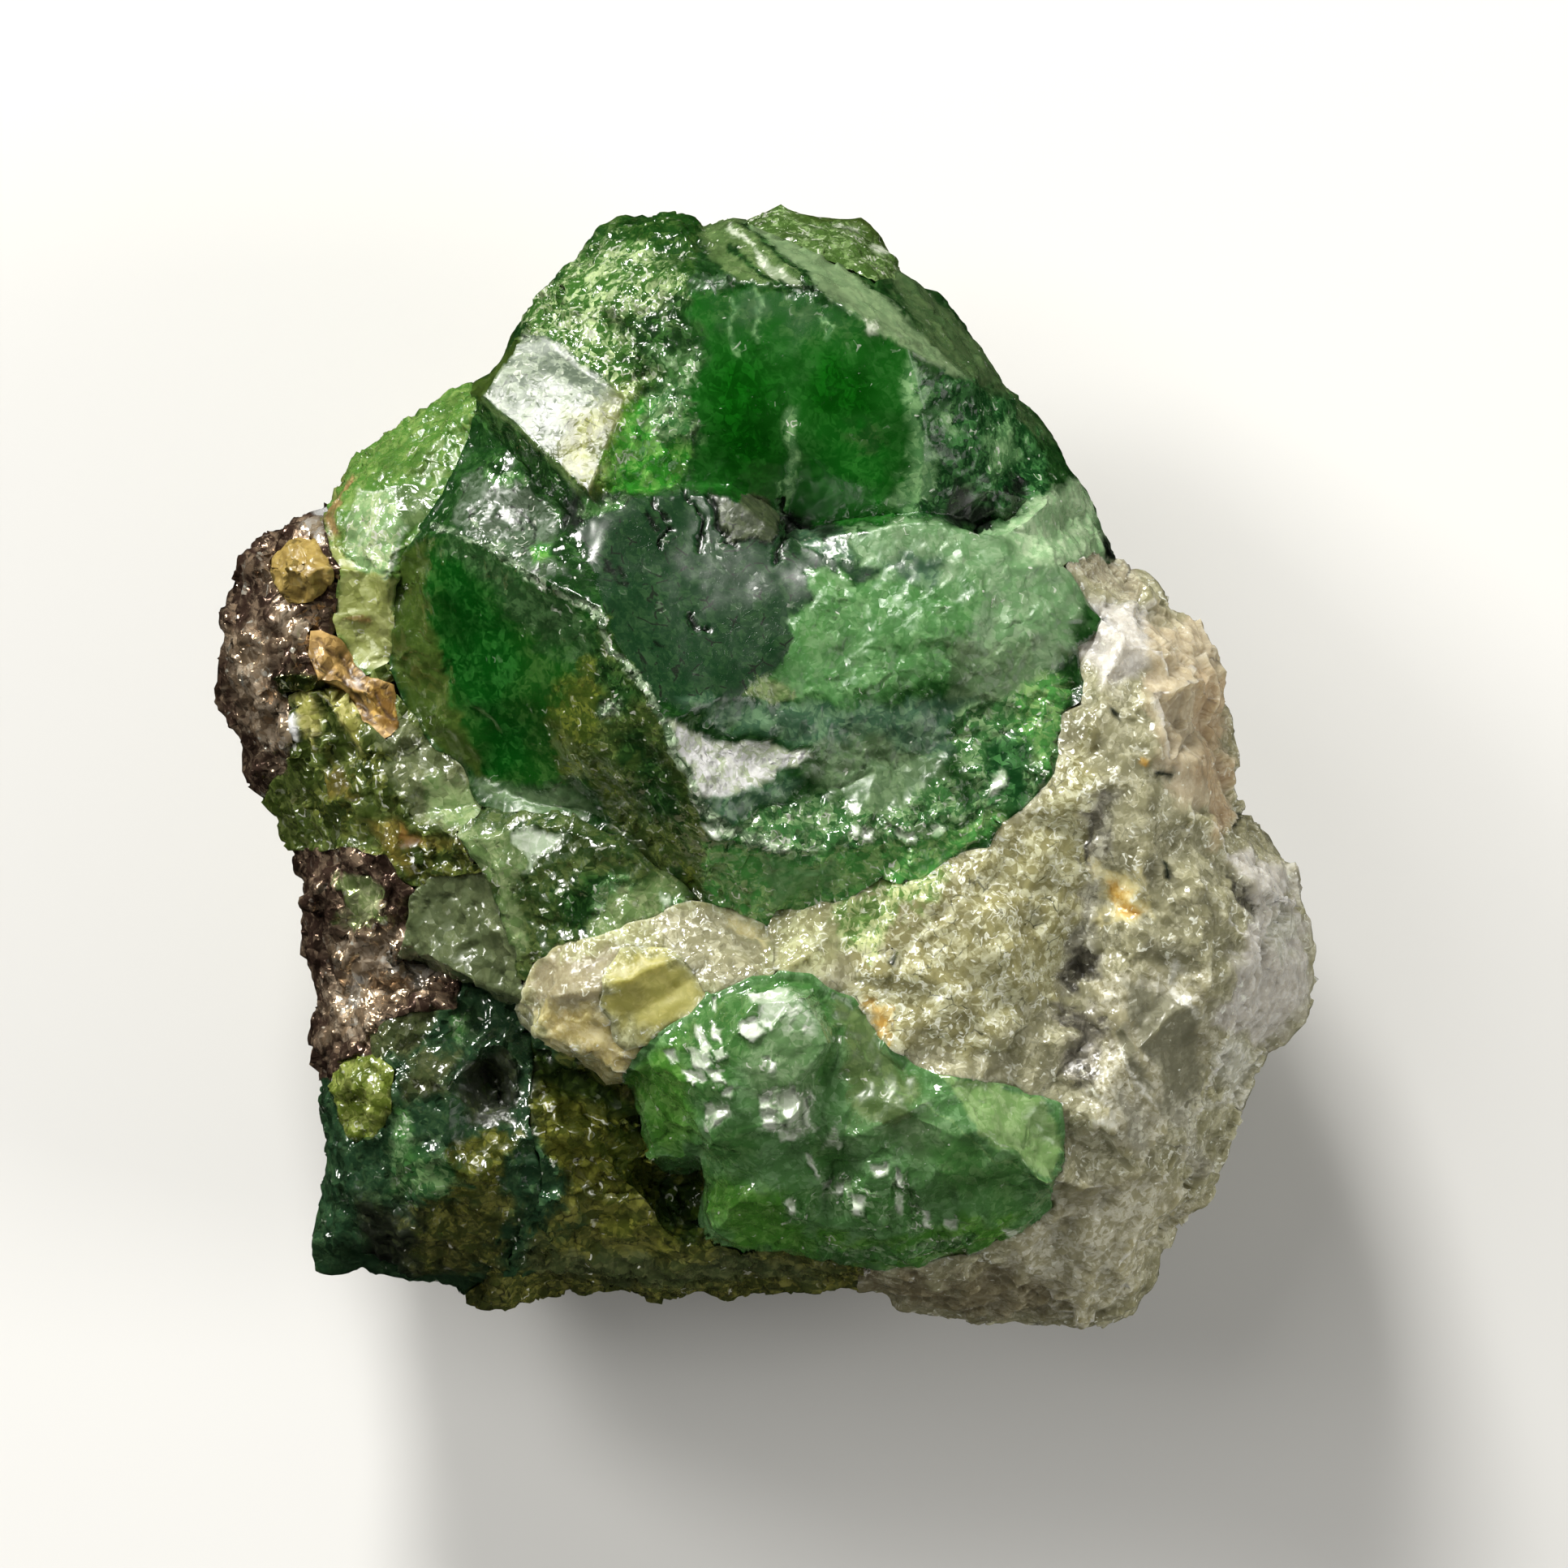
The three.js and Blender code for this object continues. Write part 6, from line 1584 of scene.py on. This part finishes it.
@dataclass
class OliveGrain(Grain):
    """The small clear olive grain on the top edge."""

    node: str = "olive_grain"
    mineral: Minerals = Minerals.PALE_TSAVORITE
    base: Skin = Skin.OLIVE
    zones: Zones = (
        # Painted highlights on the olive grain's edges.
        Zone(Skin.BEVEL_PAINTED_HIGHLIGHT, (990, 262, 1010, 272), 3, 4, width=4),
        Zone(Skin.BEVEL_PAINTED_HIGHLIGHT, (1036, 272, 1056, 280), 3, 4, width=5),
        Zone(Skin.BEVEL_PAINTED_HIGHLIGHT, (1080, 300, 1092, 310), 3, 4, width=4),
        Zone(Skin.OLIVE_WALL, (990, 248, 1060, 262, 1100, 300), 5, 5, width=6),
    )


@dataclass
class GreyGreenGrain(Grain):
    """The smooth rounded grain left of the wedge."""

    node: str = "grey_green_grain"
    mineral: Minerals = Minerals.DIOPSIDE
    base: Skin = Skin.GREASY


@dataclass
class DiopsidePatch(Grain):
    """The mottled olive rock on the left side."""

    node: str = "diopside_patch"
    mineral: Minerals = Minerals.DIOPSIDE
    base: Skin = Skin.DIOPSIDE
    facet_size: float = 0.9
    zones: Zones = (
        Zone(Skin.DIOPSIDE_GREY, (470, 866, 530, 905, 604, 985, 580, 1030, 510, 1010, 470, 950, 462, 900), 7, 8),
        Zone(Skin.DIOPSIDE_PALE, (398, 848, 428, 846, 444, 890, 440, 926, 410, 884), 4, 5, steps=(20.0, 0.4, 0.16)),
        Zone(Skin.DIOPSIDE_PALE, (352, 845, 384, 843, 390, 880, 386, 926, 364, 880), 4, 5, steps=(10.0, 0.4, 0.16)),
        Zone(Skin.DIOPSIDE_DARK, (426, 920, 480, 926, 476, 964, 430, 960), 9, 9),
        Zone(Skin.DIOPSIDE_DARK, (386, 940, 420, 960, 450, 1010, 420, 1030, 384, 1000), 12, 12),
        Zone(Skin.PALE_WEDGE, (520, 962, 580, 968, 604, 1000, 590, 1020, 530, 1010), 8, 8),
        Zone(Skin.AMBER, (450, 1002, 520, 1030, 572, 1042, 590, 1082, 500, 1082, 470, 1040), 8, 9),
        Zone(Skin.DIOPSIDE_DARK, (500, 1044, 590, 1050, 600, 1090, 520, 1090), 10, 9),
        Zone(Skin.DIOPSIDE_PALE, (438, 1044, 466, 1046, 468, 1066, 440, 1066), 5, 6),
        Zone(Skin.AMBER, (396, 938, 424, 944, 436, 980, 408, 990), 6, 12),
        Zone(Skin.RUST_BRIGHT, (484, 1016, 514, 1028, 528, 1046, 500, 1044), 5, 10),
        # Painted glint.
        Zone(Skin.PAINTED_PLATE_GLINT, (352, 880, 364, 876, 366, 904, 356, 910), 3, 5),
        Zone(Skin.DIOPSIDE_DARK, (392, 850, 396, 890, 404, 930), 2, 4, width=2.5, lift=-0.15),
        Zone(Skin.DIOPSIDE_DARK, (448, 880, 456, 930), 2, 5, width=2.5, lift=-0.12),
    )


@dataclass
class UpperGraphite(Grain):
    """The purple-grey pitted patch on the far left."""

    node: str = "upper_graphite"
    mineral: Minerals = Minerals.GRAPHITE
    base: Skin = Skin.GRAPHITE
    bulge: float = 0.2
    facet_size: float = 0.8
    zones: Zones = (
        # Painted glint.
        Zone(Skin.PAINTED_PLATE_GLINT, (378, 624, 398, 610, 402, 640, 386, 638), 3, 3),
        # Painted glints.
        Zone(Skin.GRAPHITE_PAINTED_GLINT, (376, 646, 396, 642, 398, 674, 384, 672), 4, 4),
        Zone(Skin.GRAPHITE_LILAC, (268, 780, 320, 790, 340, 880, 352, 960, 300, 900), 16, 16),
        Zone(Skin.GRAPHITE_LILAC, (310, 690, 330, 740, 380, 770, 400, 800, 340, 800), 12, 14),
        # Painted glints, with real steps.
        Zone(Skin.GRAPHITE_PAINTED_GLINT, (340, 870, 366, 880, 366, 930, 346, 920), 6, 8, steps=(-40.0, 0.5, 0.2)),
        Zone(Skin.RUST, (376, 700, 394, 704, 394, 728, 378, 728), 4, 5),
        Zone(Skin.DIOPSIDE_DARK, (340, 832, 424, 836, 424, 852, 340, 852), 4, 4),
    )


@dataclass
class LowerGraphite(Grain):
    """The second shiny patch, lower on the left."""

    node: str = "lower_graphite"
    mineral: Minerals = Minerals.GRAPHITE
    base: Skin = Skin.GRAPHITE
    bulge: float = 0.2
    facet_size: float = 0.8
    zones: Zones = (
        Zone(Skin.GRAPHITE_LILAC, (400, 1150, 500, 1150, 500, 1240, 440, 1300, 400, 1260), 18, 18),
        Zone(Skin.GRAPHITE_GREEN, (410, 1076, 436, 1084, 460, 1100, 466, 1128, 440, 1148, 420, 1120), 5, 12),
        # Painted glint.
        Zone(Skin.PAINTED_PLATE_GLINT, (508, 1112, 526, 1126, 532, 1160, 520, 1150), 3, 5, steps=(-40.0, 0.5, 0.2)),
        # Painted glints, with real steps.
        Zone(Skin.GRAPHITE_PAINTED_GLINT, (480, 1160, 526, 1180, 530, 1214, 500, 1206), 6, 10, steps=(-60.0, 0.5, 0.2)),
        Zone(Skin.GRAPHITE_PAINTED_GLINT, (424, 1196, 450, 1206, 440, 1256, 420, 1240), 6, 12, steps=(-60.0, 0.5, 0.2)),
    )


@dataclass
class WeatheredHost(Grain):
    """The rough brown-green rock at the bottom."""

    node: str = "weathered_host"
    mineral: Minerals = Minerals.HOST
    base: Skin = Skin.HOST
    bulge: float = 0.24
    zones: Zones = (
        Zone(Skin.SMOKY, (520, 1240, 690, 1250, 730, 1380, 680, 1430, 706, 1500, 640, 1570, 520, 1560), 16, 24),
        # Painted shade in the deep hollow.
        Zone(Skin.SMOKY_DARK_AND_SHADE, (600, 1290, 660, 1300, 680, 1380, 620, 1400), 10, 20),
        Zone(Skin.HOST_GOLD, (654, 1350, 700, 1330, 790, 1400, 830, 1480, 760, 1500, 680, 1440), 14, 14),
        # Painted shadow under the overhang and in the hollow.
        Zone(Skin.HOST_PAINTED_SHADOW, (646, 1280, 760, 1330, 790, 1390, 700, 1360, 650, 1330), 10, 8),
        Zone(Skin.HOST_PAINTED_SHADOW, (800, 1440, 864, 1446, 860, 1530, 810, 1520), 10, 8),
        Zone(Skin.SMOKY_PALE, (640, 1540, 760, 1560, 900, 1552, 1040, 1570, 900, 1606, 700, 1590), 12, 12),
        Zone(Skin.HOST_GOLD, (740, 1500, 830, 1510, 820, 1540, 750, 1530), 10, 10),
    )


@dataclass
class CreamQuartzGrain(Grain):
    """The cream, sugary ledge above the lower crystal."""

    node: str = "cream_quartz_grain"
    mineral: Minerals = Minerals.QUARTZ
    base: Skin = Skin.CREAM
    facet_size: float = 0.7
    sharp: float = 27.0
    zones: Zones = (
        Zone(Skin.QUARTZ, (800, 1130, 880, 1116, 944, 1150, 920, 1210, 860, 1200, 820, 1170), 10, 10),
        Zone(Skin.STAIN, (896, 1120, 940, 1140, 938, 1160, 900, 1150), 8, 8),
        Zone(Skin.CREAM_PINK, (650, 1180, 760, 1160, 764, 1250, 700, 1256, 648, 1240), 14, 14),
        # Painted light on the lower left facets.
        Zone(Skin.CREAM_LOW_PAINTED_LIGHT, (660, 1250, 766, 1250, 800, 1276, 860, 1256, 860, 1290, 760, 1330, 690, 1300), 14, 14),
        Zone(Skin.GOLDEN_SHADE, GOLDEN_EDGE, 12, 14),
    )


@dataclass
class GoldenGrain(Grain):
    """The golden translucent grain in the ledge."""

    node: str = "golden_grain"
    mineral: Minerals = Minerals.QUARTZ
    base: Skin = Skin.CREAM
    zones: Zones = (
        # Gold with painted light.
        Zone(Skin.GOLDEN_PAINTED_LIGHT, GOLDEN_EDGE, 12, 14),
    )


@dataclass
class OchreGrain(Grain):
    """The granular tan grain on the upper graphite."""

    node: str = "ochre_grain"
    mineral: Minerals = Minerals.HOST
    base: Skin = Skin.OCHRE


@dataclass
class RustyFlake(Grain):
    """The iron-stained splinter."""

    node: str = "rusty_flake"
    mineral: Minerals = Minerals.HOST
    base: Skin = Skin.RUST
    smoothing: int = 5
    zones: Zones = (
        Zone(Skin.RUST_BRIGHT, (440, 840, 484, 850, 484, 900, 456, 884), 7, 6),
        Zone(Skin.RUST_DARK, (392, 796, 430, 826, 478, 880), 2, 4, width=2, lift=-0.06),
        Zone(Skin.RUST_DARK, (390, 816, 424, 842, 456, 888), 2, 4, width=2.5, lift=-0.08),
        Zone(Skin.RUST_DARK, (430, 816, 460, 842, 484, 862), 2, 4, width=1.5, lift=-0.05),
    )


@dataclass
class YellowGreenGrain(Grain):
    """The small yellow-green grain at the lower left."""

    node: str = "yellow_green_grain"
    mineral: Minerals = Minerals.PALE_TSAVORITE
    base: Skin = Skin.YELLOW_GREEN


@dataclass
class QuartzMatrix(Grain):
    """The broken quartz that carries the crystals."""

    node: str = "quartz_matrix"
    mineral: Minerals = Minerals.QUARTZ
    base: Skin = Skin.QUARTZ
    facet_size: float = 0.7
    bulge: float = 0.35
    sharp: float = 27.0
    fade: tuple[float, float] = (5.5, 9.5)
    zones: Zones = (
        Zone(Skin.QUARTZ_TAN, (1040, 1090, 1200, 1060, 1300, 970, 1330, 900, 1360, 1060, 1320, 1200, 1200, 1290,
            1090, 1290, 1050, 1230), 16, 16),
        # Painted pink light through the translucent edge.
        Zone(Skin.QUARTZ_PAINTED_PINK_LIGHT, (1400, 760, 1470, 750, 1512, 800, 1512, 900, 1520, 990, 1460, 990, 1420, 930,
            1420, 840), 12, 10),
        Zone(Skin.BRONZE, (1300, 668, 1360, 672, 1410, 714, 1400, 740, 1350, 716, 1306, 702), 6, 7),
        Zone(Skin.QUARTZ_VIOLET, (1340, 742, 1420, 740, 1416, 830, 1360, 846, 1326, 800), 10, 10),
        Zone(Skin.QUARTZ_SHADE, (1335, 985, 1372, 990, 1368, 1070, 1354, 1130, 1356, 1210, 1306, 1216, 1326, 1150,
            1338, 1080), 10, 12),
        Zone(Skin.QUARTZ_VIOLET, (1540, 1060, 1600, 1070, 1632, 1170, 1620, 1250, 1560, 1290, 1500, 1260, 1530, 1160),
            14, 12),
        # Painted highlight on the right lobe.
        Zone(Skin.QUARTZ_WHITE_AND_GLINT, (1568, 1122, 1600, 1130, 1604, 1176, 1574, 1170), 10, 16),
        Zone(Skin.QUARTZ_VIOLET, (1516, 1050, 1540, 1040, 1562, 1090, 1566, 1112, 1546, 1106), 4, 5, lift=0.1),
        # Painted shade in a crevice.
        Zone(Skin.QUARTZ_HOLLOW_SHADE, (1518, 1066, 1530, 1084, 1544, 1112, 1542, 1136, 1524, 1104), 3, 5, lift=-0.12),
        Zone(Skin.QUARTZ_GLASS, (1370, 1190, 1420, 1200, 1450, 1290, 1440, 1330, 1400, 1300, 1370, 1250), 14, 12),
        Zone(Skin.QUARTZ_GREY, (1350, 1190, 1480, 1190, 1500, 1300, 1420, 1420, 1340, 1400, 1330, 1290), 16, 14,
            steps=(20.0, 0.5, 0.12)),
        Zone(Skin.QUARTZ_GLASS, (1380, 1206, 1440, 1220, 1478, 1244, 1484, 1350, 1440, 1374, 1400, 1320, 1372, 1276),
            6, 8),
        Zone(Skin.QUARTZ_GREY, (1363, 1236, 1392, 1262, 1426, 1320, 1430, 1350), 4, 6, width=7),
        # Pale vein, partly a painted highlight along its edge.
        Zone(Skin.QUARTZ_WHITE_AND_GLINT, (1378, 1288, 1400, 1330, 1424, 1360), 2, 5, width=2.5, lift=0.08),
        Zone(Skin.QUARTZ_SHADE, (1380, 1340, 1410, 1366, 1424, 1420, 1394, 1410), 8, 8),
        Zone(Skin.QUARTZ_WHITE_AND_GLINT, (1440, 1180, 1456, 1230, 1480, 1250), 3, 8, width=4),
        Zone(Skin.QUARTZ_BROWN, (1486, 820, 1506, 830, 1512, 930, 1520, 1000, 1500, 1050, 1484, 960), 8, 8),
        Zone(Skin.QUARTZ_GREY, (1300, 1480, 1400, 1440, 1480, 1480, 1420, 1600, 1340, 1650, 1200, 1640, 1240, 1560),
            16, 14),
        Zone(Skin.QUARTZ_DARK, (1060, 1570, 1200, 1570, 1300, 1590, 1300, 1650, 1160, 1640, 1060, 1600), 24, 24),
        Zone(Skin.STAIN, (1346, 1070, 1400, 1078, 1416, 1130, 1370, 1124), 12, 14),
        Zone(Skin.OCHRE_STAIN, (1364, 1096, 1394, 1100, 1404, 1122, 1376, 1118), 5, 10),
        Zone(Skin.OCHRE_STAIN, (1402, 926, 1412, 930, 1410, 942, 1402, 940), 4, 6),
        Zone(Skin.OCHRE_STAIN, (1064, 1236, 1084, 1246, 1096, 1290, 1076, 1290), 9, 14),
        Zone(Skin.CREAM, (944, 1110, 1050, 1100, 1056, 1170, 1000, 1210, 950, 1196), 9, 9),
        Zone(Skin.CONTACT, (1030, 1096, 1110, 1084, 1160, 1070, 1150, 1110, 1110, 1140, 1076, 1186,
            1040, 1170), 8, 18),
        # Painted shade in the crevices.
        Zone(Skin.CREVICE_PAINTED_SHADE, (1306, 1230, 1312, 1270, 1330, 1300), 4, 12, width=4),
        Zone(Skin.CREVICE_PAINTED_SHADE, (1296, 1236, 1344, 1236, 1356, 1290, 1346, 1340, 1306, 1320), 12, 16),
        # Painted shade in a crevice.
        Zone(Skin.QUARTZ_HOLLOW_SHADE, (1304, 1240, 1318, 1290, 1336, 1330), 5, 12, width=3),
        # Painted highlights on the shard's outline.
        Zone(Skin.QUARTZ_WHITE_AND_GLINT, (1336, 1350, 1350, 1344, 1374, 1362, 1374, 1388, 1344, 1386), 3, 6, width=2),
        Zone(Skin.QUARTZ_SHADE, (1442, 1354, 1480, 1350, 1496, 1440, 1460, 1440), 10, 12, steps=(16.0, 0.4, 0.12)),
        Zone(Skin.QUARTZ_WHITE_AND_GLINT, (1502, 1290, 1530, 1280, 1560, 1320, 1540, 1380, 1510, 1360), 10, 16),
        # Painted shade in the crevices.
        Zone(Skin.CREVICE_PAINTED_SHADE, (1308, 1196, 1334, 1164, 1352, 1172, 1344, 1206, 1320, 1212), 6, 8, lift=-0.05),
        Zone(Skin.QUARTZ_HOLLOW_SHADE, (1310, 1200, 1330, 1178, 1350, 1174, 1350, 1204, 1322, 1216), 4, 8),
        Zone(Skin.QUARTZ_HOLLOW_SHADE, (1352, 1004, 1344, 1030, 1338, 1060), 3, 10, width=4),
        Zone(Skin.CREVICE_PAINTED_SHADE, (1344, 1000, 1356, 990, 1364, 1030, 1350, 1066), 9, 14, lift=-0.04),
        Zone(Skin.BLACK, (1436, 1066, 1448, 1070, 1446, 1086, 1438, 1084), 2.5, 3),
        Zone(Skin.BLACK, (1424, 950, 1436, 952, 1444, 956), 2, 3, width=3),
        Zone(Skin.BLACK, (1334, 760, 1346, 764, 1342, 776, 1332, 772), 3, 4),
        Zone(Skin.BLACK, (1370, 868, 1380, 872, 1376, 882, 1368, 880), 3, 4),
        Zone(Skin.BLACK, (1100, 1176, 1110, 1178, 1108, 1188, 1100, 1186), 3, 4),
        Zone(Skin.BLACK, (1520, 996, 1536, 1000, 1536, 1016, 1522, 1014), 3, 4, lift=-0.1),
        Zone(Skin.BLACK, (1284, 1482, 1298, 1486, 1294, 1498, 1284, 1496), 3, 4),
    )


@dataclass
class Studio:
    """The pale floor, the soft lights and the camera. Lengths are in metres."""

    view_height: float = 0.414
    frame_width: float = VIEW / GRID * MM
    face_height: float = 0.014
    sensor_width: float = 0.036
    aim: Triple = (0.0, 0.0, 0.012)  # where the lights point

    def build(self) -> None:
        """Sets up the floor, the lights and the camera."""
        self.floor()
        self.lights()
        self.camera()

    def floor(self) -> None:
        """Lays a plain pale floor."""
        bpy.ops.object.select_all(action="DESELECT")
        bpy.ops.mesh.primitive_plane_add(size=3.0, location=(0.0, 0.0, 0.0))
        floor = bpy.context.active_object
        floor.name = "floor"
        material = bpy.data.materials.new("pale floor")
        material.use_nodes = True
        shader = material.node_tree.nodes["Principled BSDF"]
        shader.inputs["Base Color"].default_value = (0.62, 0.62, 0.61, 1.0)
        shader.inputs["Roughness"].default_value = 0.8
        floor.data.materials.append(material)
        floor.visible_glossy = False

    def lights(self) -> None:
        """Hangs a key light over the upper edge, a soft fill, and a pale sky."""
        world = bpy.data.worlds.new("pale sky")
        bpy.context.scene.world = world
        world.use_nodes = True
        world.node_tree.nodes["Background"].inputs["Color"].default_value = (1.0, 0.98, 0.93, 1.0)
        world.node_tree.nodes["Background"].inputs["Strength"].default_value = 0.2
        world.cycles_visibility.glossy = False
        self.panel("key light", (-0.10, 0.34, 0.22), 0.1, 2.5, True)
        self.panel("upper fill", (-0.25, 0.15, 0.42), 0.25, 0.7, False)
        self.panel("left key", (-0.29, 0.19, 0.22), 0.09, 0.8, True)
        self.panel("side fill", (0.36, -0.05, 0.22), 0.2, 0.9, False)

    def panel(self, name: str, place: Triple, size: float, power: float, shines: bool) -> None:
        """Hangs one square light that faces the stone.

        Args:
            name: the light's name.
            place: where it hangs.
            size: the length of its side.
            power: its power in watts.
            shines: whether the stone mirrors it.
        """
        light = bpy.data.lights.new(name, "AREA")
        light.size = size
        light.energy = power
        light.color = (1.0, 0.98, 0.94)
        lamp = bpy.data.objects.new(name, light)
        lamp.location = place
        lamp.rotation_euler = (Vector(self.aim) - Vector(place)).to_track_quat("-Z", "Y").to_euler()
        lamp.visible_glossy = shines
        bpy.context.collection.objects.link(lamp)

    def camera(self) -> None:
        """Looks straight down on the face, with the upper edge of the large crystal at the top."""
        data = bpy.data.cameras.new("camera")
        data.sensor_width = self.sensor_width / MM
        data.lens = data.sensor_width * (self.view_height - self.face_height) / self.frame_width
        data.clip_start = 0.01
        camera = bpy.data.objects.new("camera", data)
        centre = VIEW / 2
        camera.location = ((centre - MIDDLE[0]) / GRID * MM, (MIDDLE[1] - centre) / GRID * MM, self.view_height)
        bpy.context.collection.objects.link(camera)
        bpy.context.scene.camera = camera
        bpy.context.scene.view_settings.view_transform = "Standard"


def main() -> None:
    """Builds every piece of the stone and the studio around it."""
    logging.basicConfig(level=logging.INFO, format="%(name)s: %(message)s")
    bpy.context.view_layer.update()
    neighbours = Neighbours()
    for grain in (
        QuartzMatrix(), MainTsavorite(), LowerTsavorite(), RimTsavorite(), WedgeTsavorite(), LowerLeftTsavorite(),
        OliveGrain(), GreyGreenGrain(), DiopsidePatch(), UpperGraphite(), LowerGraphite(), WeatheredHost(),
        CreamQuartzGrain(), GoldenGrain(), OchreGrain(), RustyFlake(), YellowGreenGrain(),
    ):
        piece = grain.build(neighbours)
        LOG.info("%s: %d faces", piece.name, len(piece.data.polygons))
    Studio().build()


if __name__ == "__main__":
    main()
